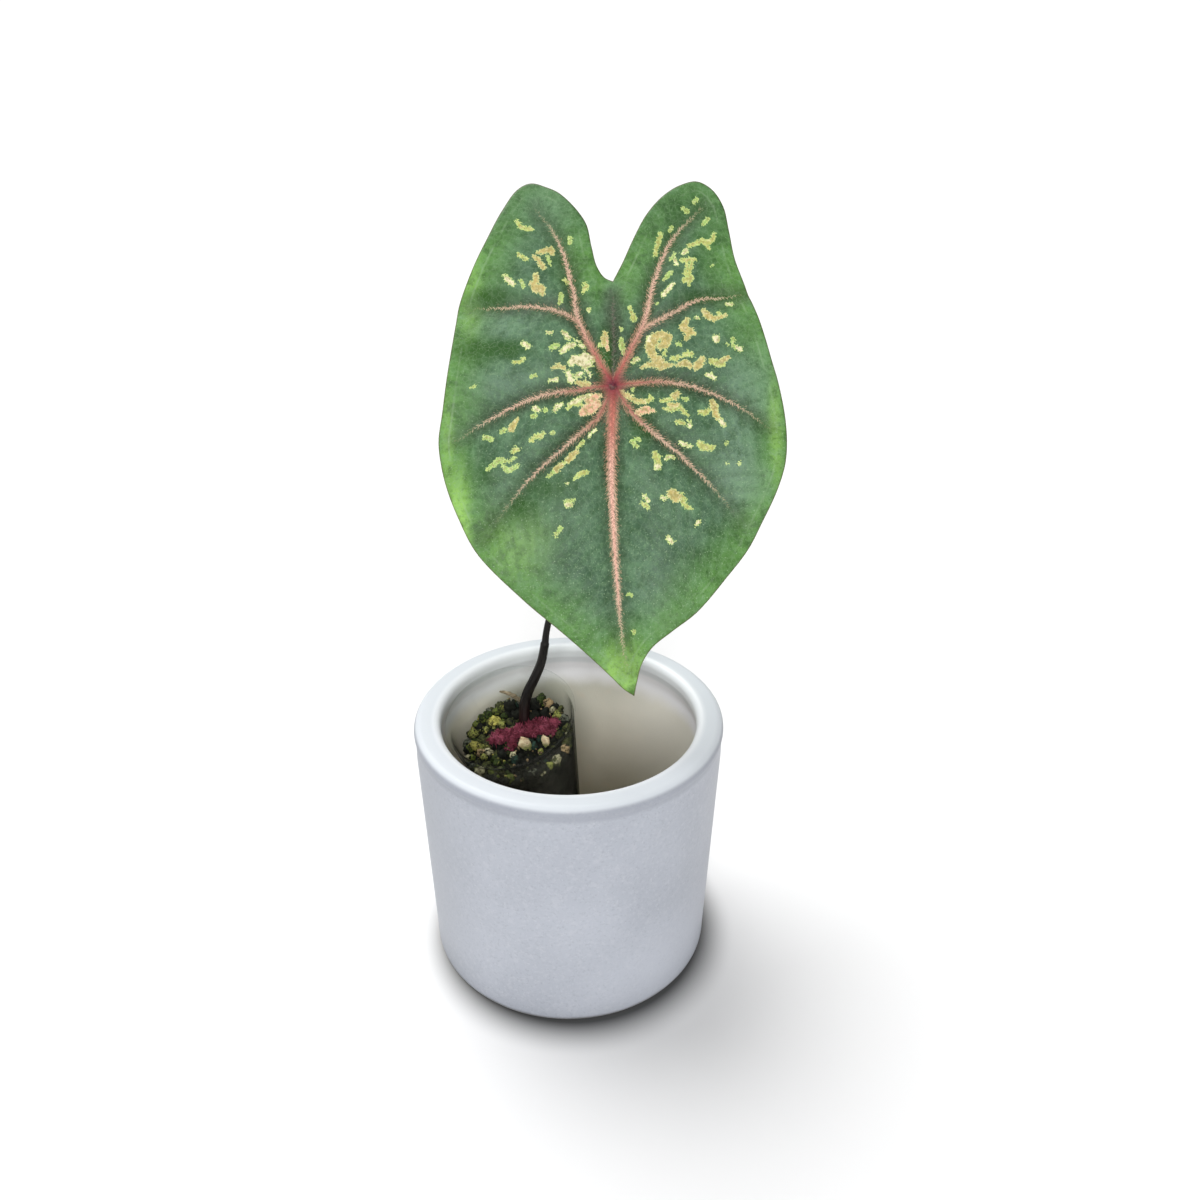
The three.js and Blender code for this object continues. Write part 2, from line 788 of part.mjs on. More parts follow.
// The swollen end of the petiole under the blade.
function stubSolid() {
  const steps = 4;
  const curve = stretch(stubShare, 1, steps);
  const radiusAt = (share) => PETIOLE.topRadius + LEAF.stubSwell * share;
  const stub = tapered(curve, radiusAt, PETIOLE.sides, steps);
  stub.applyMatrix4(leafGroup.matrixWorld.clone().invert());
  const boss = new THREE.SphereGeometry(LEAF.bossRadius, 14, 8).scale(1, 1, LEAF.bossFlatness);
  boss.translate(0, 0, bladeHeight(0, 0, 0) - LEAF.thickness / 2);
  return toSolid(stub).add(toSolid(boss));
}

function leafGeometry() {
  return toGeometry(joined([bladeSolid(), stubSolid(), ...veins.map(ribSolid)]));
}

// ---------------------------------------------------------------- assembly

const looks = {
  ceramic: material(0xdfe3ea, 0.25),
  clearPlastic: material(0xdfe2dc, 0.12, { transparent: true, opacity: 0.35 }),
  mix: material(0x1d1c17, 0.95),
  granules: material(0x6f7040, 0.9),
  moss: material(0x7a2c45, 0.9),
  cream: material(0xcdb894, 0.85),
  bark: material(0x8d8168, 0.9),
  tuber: material(0x6b4a33, 0.9),
  petiole: material(0x211a17, 0.5),
  leaf: material(0x4f7a4c, 0.55),
};

cupGroup.add(
  piece("nursery_cup", cupGeometry(), looks.clearPlastic),
  piece("potting_mix", mixGeometry(), looks.mix),
  piece("granule_topping", toppingGeometry(), looks.granules),
  piece("maroon_moss", mossGeometry(), looks.moss),
  piece("bark_strip", chipGeometry(BARK), looks.bark),
  piece("tuber", tuberGeometry(0), looks.tuber),
);
for (const chip of CHIPS) {
  cupGroup.add(piece(chip.name, chipGeometry(chip), looks.cream));
}
leafGroup.add(piece("leaf_blade", leafGeometry(), looks.leaf));

const plant = new THREE.Group();
plant.add(
  piece("pot", potGeometry(), looks.ceramic),
  piece("petiole", petioleGeometry(), looks.petiole),
  cupGroup,
  leafGroup,
);

export default plant;
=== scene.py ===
"""The looks of a potted caladium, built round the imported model.

Lengths are millimetres until a mesh is made. Colours are written as 0 to 255 display values.
"""

import math
import random

import bmesh
import bpy
import numpy as np
from mathutils import Matrix, Vector, noise
from mathutils.geometry import delaunay_2d_cdt
from mathutils.kdtree import KDTree


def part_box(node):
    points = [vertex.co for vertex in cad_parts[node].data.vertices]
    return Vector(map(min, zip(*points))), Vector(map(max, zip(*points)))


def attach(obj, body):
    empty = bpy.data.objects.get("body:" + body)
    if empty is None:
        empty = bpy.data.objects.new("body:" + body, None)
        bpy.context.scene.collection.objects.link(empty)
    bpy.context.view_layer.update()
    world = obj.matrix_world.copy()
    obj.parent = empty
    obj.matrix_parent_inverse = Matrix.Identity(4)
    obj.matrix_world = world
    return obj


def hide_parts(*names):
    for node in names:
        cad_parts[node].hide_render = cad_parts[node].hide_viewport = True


MM = 0.001
GAP = 0.3  # clearance between pieces that touch

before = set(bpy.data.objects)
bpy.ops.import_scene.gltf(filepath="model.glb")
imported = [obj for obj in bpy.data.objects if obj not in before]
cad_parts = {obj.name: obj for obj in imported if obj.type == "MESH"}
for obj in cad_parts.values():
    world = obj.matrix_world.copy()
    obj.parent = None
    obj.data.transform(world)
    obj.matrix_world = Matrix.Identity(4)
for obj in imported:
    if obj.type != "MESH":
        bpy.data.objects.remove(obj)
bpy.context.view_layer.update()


# ---------------------------------------------------------------- curves and meshes


def smooth_curve(points, count):
    """count + 1 evenly spaced points on a centripetal Catmull-Rom curve through points."""
    knots = np.array(points, float)
    knots = np.vstack([2 * knots[0] - knots[1], knots, 2 * knots[-1] - knots[-2]])
    share = np.linspace(0, 1, 40, endpoint=False)[:, None]
    fine = []
    for a, b, c, d in zip(knots, knots[1:], knots[2:], knots[3:]):
        before, here, after = (math.sqrt(math.dist(p, q)) for p, q in ((a, b), (b, c), (c, d)))
        start = ((b - a) / before - (c - a) / (before + here) + (c - b) / here) * here
        end = ((c - b) / here - (d - b) / (here + after) + (d - c) / after) * here
        square = -3 * b + 3 * c - 2 * start - end
        cube = 2 * b - 2 * c + start + end
        fine.append(b + start * share + square * share**2 + cube * share**3)
    fine = np.vstack([*fine, knots[-2:-1]])
    return on_line(fine, np.linspace(0, along(fine)[-1], count + 1))


def along(points):
    """Length of a polyline from its start to each of its points."""
    steps = np.linalg.norm(np.diff(points, axis=0), axis=1)
    return np.concatenate([[0], np.cumsum(steps)])


def unit(vectors):
    return vectors / np.linalg.norm(vectors, axis=-1, keepdims=True)


def on_line(line, stations):
    """Places on a polyline at distances from its start."""
    length = along(line)
    return np.stack([np.interp(stations, length, axis) for axis in line.T], -1)


def bell(distance, width):
    return np.exp(-((distance / width) ** 2))


def arc(centre_r, centre_z, radius, start, end, count=8):
    """Points of a fillet in a turned outline. The angles are in quarter turns."""
    angles = np.linspace(start, end, count + 1) * math.pi / 2
    return [(centre_r + radius * math.cos(a), centre_z + radius * math.sin(a)) for a in angles]


def straight(start, end, count):
    return [tuple(p) for p in np.linspace(start, end, count + 1)]


def turned(outline, segments):
    """Vertices and faces of an outline turned about z. It starts and ends on the axis."""
    outline = [p for i, p in enumerate(outline) if i == 0 or math.dist(p, outline[i - 1]) > 1e-4]
    rings = outline[1:-1]
    angles = np.linspace(0, 2 * math.pi, segments, endpoint=False)
    circle = np.stack([np.cos(angles), np.sin(angles)], 1)
    vertices = [np.column_stack([circle * r, np.full(segments, z)]) for r, z in rings]
    last = len(rings) * segments
    vertices += [np.array([[0, 0, outline[0][1]]]), np.array([[0, 0, outline[-1][1]]])]
    faces = []
    for j in range(segments):
        k = (j + 1) % segments
        faces.append([last, k, j])
        for i in range(len(rings) - 1):
            low, high = i * segments, (i + 1) * segments
            faces.append([low + j, low + k, high + k, high + j])
        top = last - segments
        faces.append([last + 1, top + j, top + k])
    return np.vstack(vertices), faces


def tube(centres, radii, sides):
    """A closed tube along centres. Its first axis turns as little as it can."""
    centres = np.asarray(centres, float)
    ahead = unit(np.gradient(centres, axis=0))
    side = np.cross(ahead[0], [0.3, 0.2, 1.0])
    angles = np.linspace(0, 2 * math.pi, sides, endpoint=False)
    rings = []
    for centre, direction, radius in zip(centres, ahead, radii):
        side = unit(side - direction * np.dot(side, direction))
        other = np.cross(direction, side)
        ring = np.cos(angles)[:, None] * side + np.sin(angles)[:, None] * other
        rings.append(centre + radius * ring)
    faces = []
    for i in range(len(rings) - 1):
        low, high = i * sides, (i + 1) * sides
        for j in range(sides):
            k = (j + 1) % sides
            faces.append([low + j, low + k, high + k, high + j])
    last = (len(rings) - 1) * sides
    faces.append(list(range(sides))[::-1])
    faces.append([last + j for j in range(sides)])
    return np.vstack(rings), faces


def joined(shapes):
    """Many (vertices, faces) as one."""
    vertices, faces, count = [], [], 0
    for points, polygons in shapes:
        vertices.append(points)
        faces += [[i + count for i in polygon] for polygon in polygons]
        count += len(points)
    return np.vstack(vertices), faces


def make(name, shape, looks, node, values=None, smooth=True):
    """A finished piece that stands for a CAD node. values are numbers for each vertex."""
    vertices, faces = shape
    mesh = bpy.data.meshes.new(name)
    mesh.from_pydata((vertices * MM).tolist(), [], faces)
    if smooth:
        mesh.shade_smooth()
    for key, numbers in (values or {}).items():
        attribute = mesh.attributes.new(key, "FLOAT", "POINT")
        attribute.data.foreach_set("value", np.asarray(numbers, np.float32))
    for look in looks:
        mesh.materials.append(look)
    piece = bpy.data.objects.new(name, mesh)
    bpy.context.scene.collection.objects.link(piece)
    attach(piece, "root")
    if node:
        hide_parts(node)
    return piece


# ---------------------------------------------------------------- materials


def linear(colour):
    """A display colour from 0 to 255 as the shader's scene-linear one."""
    shares = [c / 255 for c in colour]
    return [c / 12.92 if c <= 0.04045 else ((c + 0.055) / 1.055) ** 2.4 for c in shares] + [1.0]


class Value:
    """A number or colour that varies over a surface: the output of one of a Look's nodes."""

    def __init__(self, look, socket):
        self.look = look
        self.socket = socket

    def __add__(self, other):
        return self.look.math("ADD", self, other)

    def __sub__(self, other):
        return self.look.math("SUBTRACT", self, other)

    def __mul__(self, other):
        return self.look.math("MULTIPLY", self, other)

    def __abs__(self):
        return self.look.math("ABSOLUTE", self)

    def rise(self, low, high, start=0.0, end=1.0):
        """A soft step from start to end as this goes from low to high."""
        inputs = {0: self, 1: low, 2: high, 3: start, 4: end}
        return self.look.output(0, "ShaderNodeMapRange", inputs, interpolation_type="SMOOTHSTEP")


class Look:
    """A material. Its methods add nodes and return their outputs."""

    def __init__(self, name, roughness=0.5, specular=0.5):
        self.material = bpy.data.materials.new(name)
        self.material.use_nodes = True
        self.nodes = self.material.node_tree.nodes
        self.links = self.material.node_tree.links
        self.shader = self.nodes["Principled BSDF"]
        self.set("Roughness", roughness)
        self.set("Specular IOR Level", specular)
        self.place = self.output("Object", "ShaderNodeTexCoord")

    def node(self, kind, inputs=None, **settings):
        node = self.nodes.new(kind)
        for key, value in settings.items():
            setattr(node, key, value)
        for key, value in (inputs or {}).items():
            self.feed(node.inputs[key], value)
        return node

    def output(self, output, kind, inputs=None, **settings):
        return Value(self, self.node(kind, inputs, **settings).outputs[output])

    def feed(self, socket, value):
        if isinstance(value, Value):
            self.links.new(value.socket, socket)
        elif isinstance(value, tuple):
            socket.default_value = linear(value)
        else:
            socket.default_value = value

    def set(self, key, value):
        self.feed(self.shader.inputs[key], value)

    def value(self, name):
        return self.output("Fac", "ShaderNodeAttribute", attribute_name=name)

    def axes(self):
        """The place's x, y and z in millimetres."""
        parts = self.node("ShaderNodeSeparateXYZ", {"Vector": self.place})
        return [Value(self, parts.outputs[name]) * (1 / MM) for name in "XYZ"]

    def stretched(self, x, y, z):
        inputs = {0: self.place, 1: [x, y, z]}
        return self.output(0, "ShaderNodeVectorMath", inputs, operation="MULTIPLY")

    def noise(self, size, detail=3.0, vector=None, rough=0.5):
        """Noise from 0 to 1 whose largest lumps measure size."""
        inputs = {"Scale": 1 / (size * MM), "Detail": detail, "Roughness": rough}
        inputs["Vector"] = vector or self.place
        return self.output("Fac", "ShaderNodeTexNoise", inputs)

    def cells(self, size, feature="F1"):
        inputs = {"Scale": 1 / (size * MM), "Vector": self.place}
        return self.output("Distance", "ShaderNodeTexVoronoi", inputs, feature=feature)

    def math(self, operation, a, b=0.0):
        return self.output(0, "ShaderNodeMath", {0: a, 1: b}, operation=operation)

    def mix(self, share, a, b):
        return self.output(2, "ShaderNodeMix", {0: share, 6: a, 7: b}, data_type="RGBA")

    def layers(self, colour, *layers):
        """A colour under others. Each of these comes after the share that it covers."""
        for share, over in layers:
            colour = self.mix(share, colour, over)
        return colour

    def finished(self, colour, height, depth, strength=1.0):
        """The material with its colour, and with bumps as deep as depth."""
        self.set("Base Color", colour)
        inputs = {"Height": height, "Distance": depth * MM, "Strength": strength}
        self.set("Normal", self.output("Normal", "ShaderNodeBump", inputs))
        return self.material


# ---------------------------------------------------------------- camera, light and floor

IMAGE_SIDE = 1200  # pixels of the picture that the camera is set for
FOCAL_PIXELS = 1028.57
SENSOR = 36
CAMERA_PLACE = np.array([0, -391.06, 386.52])
CAMERA_AHEAD = np.array([0.03089, 0.88477, -0.46500])
CAMERA_UP = np.array([0.00877, 0.46496, 0.88529])
CAMERA_RIGHT = np.array([0.99948, -0.03143, 0.00660])


def make_camera():
    data = bpy.data.cameras.new("camera")
    data.sensor_width = SENSOR
    data.lens = FOCAL_PIXELS * SENSOR / IMAGE_SIDE
    camera = bpy.data.objects.new("camera", data)
    bpy.context.scene.collection.objects.link(camera)
    world = np.eye(4)
    world[:3, 0] = CAMERA_RIGHT
    world[:3, 1] = CAMERA_UP
    world[:3, 2] = -CAMERA_AHEAD
    world[:3, 3] = CAMERA_PLACE * MM
    camera.matrix_world = Matrix(world.tolist())
    bpy.context.scene.camera = camera


HORIZON, OVERHEAD = 0.12, 0.5  # the sky's brightness
GLOW, GLOW_BELOW = 0.95, 0.1  # added under this sine of the elevation: a plain white backdrop
# Two soft lights: one behind to the left, edge on to the leaf, and one beside the camera.
LIGHTS = {
    "window": {"strength": 2.8, "softness": 50, "towards": (0.41, -0.52, -0.95)},
    "front": {"strength": 2.1, "softness": 24, "towards": (0.04, 0.885, -0.465)},
}
FLOOR_HALF = 6000
FLOOR_COLOURS = (227, 227, 227), (230, 230, 230)
# A contact shadow painted into the floor's colour where the pot stands: distances from a point
# beside the pot's axis.
PAINTED_CONTACT_SHADOW = {"centre": (2.5, -6.0), "from": 61, "to": 80, "falloff": 0.6, "colour": (84, 85, 86)}


def make_world():
    world = bpy.data.worlds.new("studio")
    world.use_nodes = True
    tree = world.node_tree
    background = tree.nodes["Background"]
    background.inputs["Color"].default_value = (1, 1, 1, 1)
    parts = tree.nodes.new("ShaderNodeSeparateXYZ")
    tree.links.new(tree.nodes.new("ShaderNodeTexCoord").outputs["Generated"], parts.inputs[0])
    total = tree.nodes.new("ShaderNodeMath")
    for number, (ends, values) in enumerate(
        (((0.0, 1.0), (HORIZON, OVERHEAD)), ((GLOW_BELOW, GLOW_BELOW * 1.3), (GLOW, 0.0)))
    ):
        ramp = tree.nodes.new("ShaderNodeMapRange")
        for socket, value in zip(list(ramp.inputs)[1:5], (*ends, *values)):
            socket.default_value = value
        tree.links.new(parts.outputs["Z"], ramp.inputs[0])
        tree.links.new(ramp.outputs[0], total.inputs[number])
    tree.links.new(total.outputs[0], background.inputs["Strength"])
    bpy.context.scene.world = world


def staged(name, corners, material):
    mesh = bpy.data.meshes.new(name)
    mesh.from_pydata([Vector(corner) * MM for corner in corners], [], [[0, 1, 2, 3]])
    mesh.materials.append(material)
    plane = bpy.data.objects.new(name, mesh)
    bpy.context.scene.collection.objects.link(plane)


def make_studio():
    make_world()
    bpy.context.scene.view_settings.view_transform = "Standard"
    for name, values in LIGHTS.items():
        light = bpy.data.lights.new(name, "SUN")
        light.energy = values["strength"]
        light.angle = math.radians(values["softness"])
        sun = bpy.data.objects.new(name, light)
        sun.rotation_euler = Vector(values["towards"]).to_track_quat("-Z", "Y").to_euler()
        bpy.context.scene.collection.objects.link(sun)

    look = Look("floor", roughness=0.95, specular=0.05)
    # Painted shadow: the floor's base colour darkens towards the pot's foot.
    x, y = (axis - middle for axis, middle in zip(look.axes(), PAINTED_CONTACT_SHADOW["centre"]))
    away = look.math("SQRT", x * x + y * y)
    light = look.math("POWER", away.rise(PAINTED_CONTACT_SHADOW["from"], PAINTED_CONTACT_SHADOW["to"]), PAINTED_CONTACT_SHADOW["falloff"])
    plain = look.mix(look.noise(300), *FLOOR_COLOURS)
    look.set("Base Color", look.mix(light, PAINTED_CONTACT_SHADOW["colour"], plain))
    corners = [(-1, -1, 0), (1, -1, 0), (1, 1, 0), (-1, 1, 0)]
    staged("floor", [Vector(corner) * FLOOR_HALF for corner in corners], look.material)


# ---------------------------------------------------------------- pot

POT_HIGH = np.array(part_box("pot")[1]) / MM
POT_HEIGHT = POT_HIGH[2]
RIM_RADIUS = POT_HIGH[0]
BASE_RADIUS = 66.5
POT_FLOOR = 10
POT_WALL = 9
RIM_WIDTH = 12
LIP_DEPTH = 7.5
LIP_COVE = 2
FOOT_RING, FOOT_RECESS = 8, 0.6  # width of the ring that the pot stands on, and its height
POT_SEGMENTS = 192


def pot_outline():
    taper = (RIM_RADIUS - BASE_RADIUS) / POT_HEIGHT
    inner_top = RIM_RADIUS - taper * LIP_DEPTH - POT_WALL
    inner_base = BASE_RADIUS + taper * POT_FLOOR - POT_WALL
    lip = RIM_RADIUS - RIM_WIDTH
    lip_foot = POT_HEIGHT - LIP_DEPTH
    outer, inner, base, floor = 3.6, 3.5, 2.5, 6
    drawn_in = RIM_RADIUS - 0.3  # the wall draws in just under the rim
    under_rim = POT_HEIGHT - 5.4
    return [
        (0, FOOT_RECESS),
        (BASE_RADIUS - FOOT_RING - 1, FOOT_RECESS),
        (BASE_RADIUS - FOOT_RING, 0),
        *arc(BASE_RADIUS - base, base, base, -1, 0),
        *straight((BASE_RADIUS + 0.1, 8), (RIM_RADIUS - taper * 16, POT_HEIGHT - 16), 12),
        *straight((drawn_in - taper * 9, POT_HEIGHT - 9), (drawn_in, under_rim), 3),
        *arc(RIM_RADIUS - outer, POT_HEIGHT - outer, outer, -0.25, 1, 12),
        *arc(lip + inner, POT_HEIGHT - inner, inner, 1, 2, 12),
        *arc(lip + 3, lip_foot + 2.2, 3, 2, 2.25, 4),
        (inner_top - 0.5, lip_foot - LIP_COVE - 3),
        (inner_top, lip_foot - LIP_COVE - 5),
        *straight((inner_top, lip_foot - 9), (inner_base, POT_FLOOR + floor), 12),
        *arc(inner_base - floor, POT_FLOOR + floor, floor, 0, -1)[1:],
        (0, POT_FLOOR),
    ]


def pot_look():
    """White glaze outside and on the lip, bare stained clay inside and underneath, with painted
    light and shade on both.
    """
    look = Look("white_glaze", roughness=0.3, specular=0.32)
    x, y, z = look.axes()
    radius = look.math("SQRT", x * x + y * y)
    top = POT_HEIGHT

    cloud = look.noise(38, 4)
    lanes = look.stretched(1.0, 1.0, 0.12)
    # Painted shade: a dim band just under the rim's rounded edge.
    painted_shade_under_rim = z.rise(top - 8.5, top - 5.5) * z.rise(top - 0.8, top - 2.6)
    painted_shade_under_rim *= radius.rise(RIM_RADIUS - 7, RIM_RADIUS - 5)
    glaze = look.layers(
        look.mix(cloud.rise(0.3, 0.7), (161, 165, 174), (169, 173, 182)),
        (look.noise(1.3, 4, rough=0.7).rise(0.53, 0.64) * 0.4, (140, 144, 153)),
        (look.noise(2.4, 6, rough=0.7).rise(0.5, 0.64) * 0.4, (180, 183, 189)),
        (look.noise(1.0, 3, rough=0.7).rise(0.6, 0.68) * 0.4, (192, 195, 200)),
        (look.noise(3.5, 6, lanes, 0.8).rise(0.68, 0.76) * 0.24, (194, 197, 203)),
        # Painted shade: the wall is darker towards its left side.
        (x.rise(-36, -68) * 0.4, (138, 142, 148)),
        # Painted light: the wall is lighter low on its right, for light bounced from the floor.
        (x.rise(-10, 45) * z.rise(62, 12) * 0.5, (196, 200, 209)),
        # Painted light: the rim's top and the inner lip are lighter than the glaze on the side, for
        # the light that falls on them.
        (z.rise(top - 2.4, top - 0.7), (197, 202, 207)),
        (radius.rise(RIM_RADIUS - 7, RIM_RADIUS - 10.5), (216, 219, 222)),
        (painted_shade_under_rim * 0.6, (142, 146, 155)),
        # Painted shade: the lowest few millimetres of the foot are dark, for the contact shadow
        # where the pot stands.
        ((z + look.noise(12) * 1.5).rise(4.2, 1.8) * 0.8, (90, 90, 88)),
    )
    bare = look.layers(
        look.mix(z.rise(30, 108), (194, 187, 171), (192, 190, 178)),
        (look.noise(24, 4).rise(0.38, 0.66) * 0.5, (204, 198, 184)),
        (look.noise(9, 5).rise(0.55, 0.75) * 0.3, (206, 190, 170)),
        (look.noise(0.8, 3).rise(0.6, 0.8) * 0.25, (168, 160, 146)),
        # Painted light: the bare inside is lighter towards its right and its left.
        (x.rise(18, 52) * 0.7, (234, 230, 220)),
        (x.rise(-24, -52) * 0.9, (250, 242, 228)),
        ((z + look.noise(20, 3) * 9).rise(102, 113), (232, 231, 234)),
    )

    inside = radius.rise(RIM_RADIUS - 8.2, RIM_RADIUS - 8.8) * z.rise(top - 8.4, top - 11)
    under = z.rise(1.6, 0.7)
    unglazed = look.math("MAXIMUM", inside, under)
    clay = look.mix(under, bare, (205, 199, 188))
    look.set("Roughness", unglazed * 0.42 + cloud.rise(0.2, 0.8, 0.36, 0.48))
    peel = look.noise(5, 3) + look.noise(0.9, 3) * 0.25 + unglazed * look.noise(0.6, 3) * 0.6
    return look.finished(look.mix(unglazed, glaze, clay), peel, 0.12)


# ---------------------------------------------------------------- frame of the leaning cup

CUP_HEIGHT = 112
MOUTH_RADIUS = 29.7
CUP_BASE_RADIUS = 15
CUP_WALL = 0.8
CUP_BASE_FILLET = 1.5
CUP_LEAN = math.radians(18.2)
CUP_LEAN_TOWARDS = math.radians(236.3)
CUP_X, CUP_Y = -7.9, 31.6
CUP_SEGMENTS = 144
MIX_TOP = 85.5
SURFACE = 94

cup_lean_x = math.sin(CUP_LEAN) * math.cos(CUP_LEAN_TOWARDS)
cup_lean_y = math.sin(CUP_LEAN) * math.sin(CUP_LEAN_TOWARDS)
cup_axis = Vector((cup_lean_x, cup_lean_y, math.cos(CUP_LEAN)))
cup_turn = np.array(Vector((0, 0, 1)).rotation_difference(cup_axis).to_matrix())
cup_foot = (CUP_BASE_RADIUS - CUP_BASE_FILLET) * math.sin(CUP_LEAN)
cup_roll = CUP_BASE_FILLET * (1 - math.cos(CUP_LEAN))
cup_place = np.array([CUP_X, CUP_Y, POT_FLOOR + GAP + cup_foot + cup_roll])


def out_of_cup(points):
    """Points in the cup's own frame as points in the part's."""
    return np.asarray(points) @ cup_turn.T + cup_place


def cup_radius(height):
    return CUP_BASE_RADIUS + (MOUTH_RADIUS - CUP_BASE_RADIUS) * height / CUP_HEIGHT


# ---------------------------------------------------------------- nursery cup


def cup_shape():
    lip = 0.8
    lip_foot = CUP_HEIGHT - 1.6
    base = CUP_BASE_RADIUS
    fillet = CUP_BASE_FILLET
    outline = [
        (0, 0.5),
        (base - 4, 0.5),
        (base - 3.2, 0),
        *arc(base - fillet, fillet, fillet, -1, 0, 6),
        *straight((cup_radius(3), 3), (cup_radius(lip_foot), lip_foot), 24),
        *arc(MOUTH_RADIUS, CUP_HEIGHT - lip, lip, -0.6, 1, 8),
        (MOUTH_RADIUS - 0.4, CUP_HEIGHT - 0.1),
        (MOUTH_RADIUS - CUP_WALL, CUP_HEIGHT - 0.5),
        *straight((cup_radius(108) - CUP_WALL, 108), (cup_radius(3) - CUP_WALL, 3), 24),
        (cup_radius(1) - 2 * CUP_WALL, 1),
        (0, 1),
    ]
    vertices, faces = turned(outline, CUP_SEGMENTS)
    return out_of_cup(vertices), faces


def cup_look():
    """Clear plastic, scuffed and a little dusty, which darkens where it is seen edge on."""
    look = Look("clear_plastic", roughness=0.45)
    look.set("Base Color", look.mix(look.noise(3), (186, 186, 178), (206, 206, 200)))
    edge = look.output("Facing", "ShaderNodeLayerWeight", {"Blend": 0.35}).rise(0.5, 1.0)
    tint = look.mix(edge, (253, 254, 253), (112, 114, 107))
    clear = look.output(0, "ShaderNodeBsdfTransparent", {"Color": tint})
    gloss_inputs = {"Roughness": 0.3, "Color": (238, 240, 240)}
    gloss = look.output(0, "ShaderNodeBsdfAnisotropic", gloss_inputs)
    fresnel = look.output("Fac", "ShaderNodeFresnel", {"IOR": 1.42})
    scuffs = look.noise(9, 5, rough=0.6).rise(0.4, 0.8, 0.0005, 0.006)
    dusty = Value(look, look.shader.outputs[0])
    hazy = look.output(0, "ShaderNodeMixShader", {0: scuffs, 1: clear, 2: dusty})
    whole = look.output(0, "ShaderNodeMixShader", {0: fresnel * 0.05, 1: hazy, 2: gloss})
    look.feed(look.nodes["Material Output"].inputs["Surface"], whole)
    return look.material


# ---------------------------------------------------------------- potting mix


def mix_shape():
    """A lumpy block inside the cup's wall, with bits of bark showing on its side."""
    clear = CUP_WALL + GAP
    rows = 110
    around = 180
    low = 2.2
    outline = [(0, low)]
    outline += straight((cup_radius(low) - 3, low), (cup_radius(low + 1) - clear, low + 1), 2)
    outline += straight((cup_radius(4) - clear, 4), (cup_radius(MIX_TOP) - clear, MIX_TOP), rows)
    outline.append((0, MIX_TOP))
    vertices, faces = turned(outline, around)
    radius = np.hypot(vertices[:, 0], vertices[:, 1])
    lumps = np.array([noise.noise(Vector(v) / 3.1) for v in vertices])
    chips = np.array([noise.cell(Vector((v[0] / 2.6, v[1] / 2.6, v[2] / 1.7))) for v in vertices])
    cut = np.clip(0.55 - 0.9 * lumps + 0.35 * chips, 0, 1.8)
    moved = radius > 2
    share = np.where(moved, (radius - cut) / np.maximum(radius, 1), 1)
    vertices[:, :2] *= share[:, None]
    return out_of_cup(vertices), faces


def mix_look():
    look = Look("dark_mix", roughness=0.92, specular=0.25)
    lumps = look.noise(4, 5, rough=0.65)
    bits = look.noise(3.3, 2).rise(0.68, 0.74) * look.cells(2.4).rise(0.12, 0.3, 1.0, 0.0)
    dark = look.mix(lumps.rise(0.35, 0.7), (3, 3, 2), (13, 12, 8))
    return look.finished(look.mix(bits, dark, (60, 56, 40)), lumps + look.cells(1.4) * 0.5, 0.8)


# ---------------------------------------------------------------- granules, moss and chips

GRANULE_SEED = 7
STONE_DIVISIONS = 3, 2, 1  # of the round that a large or small granule or a crumb is cut from
BED_TOP = SURFACE - 1  # the granules' bed, in the cup's frame

BLACK, OLIVE, LEAFY, MOSSY = (22, 24, 19), (78, 82, 46), (58, 74, 30), (104, 116, 50)
LIME, STRAW, PALE, TAN = (142, 146, 76), (178, 172, 88), (196, 190, 152), (176, 150, 112)
TEAL, ASH = (38, 62, 52), (108, 112, 98)
# What the granules' and crumbs' colours are drawn from, left and right of MIX_BORDER.
LEFT_MIX, RIGHT_MIX = [BLACK, OLIVE, LEAFY, MOSSY, LIME], [BLACK, BLACK, BLACK, OLIVE, TEAL]
LEFT_CRUMBS, RIGHT_CRUMBS = [*LEFT_MIX, STRAW], [BLACK, BLACK, BLACK, OLIVE, TAN]
WALL_MIX = [BLACK, OLIVE, ASH, MOSSY, PALE]
MIX_BORDER = -4

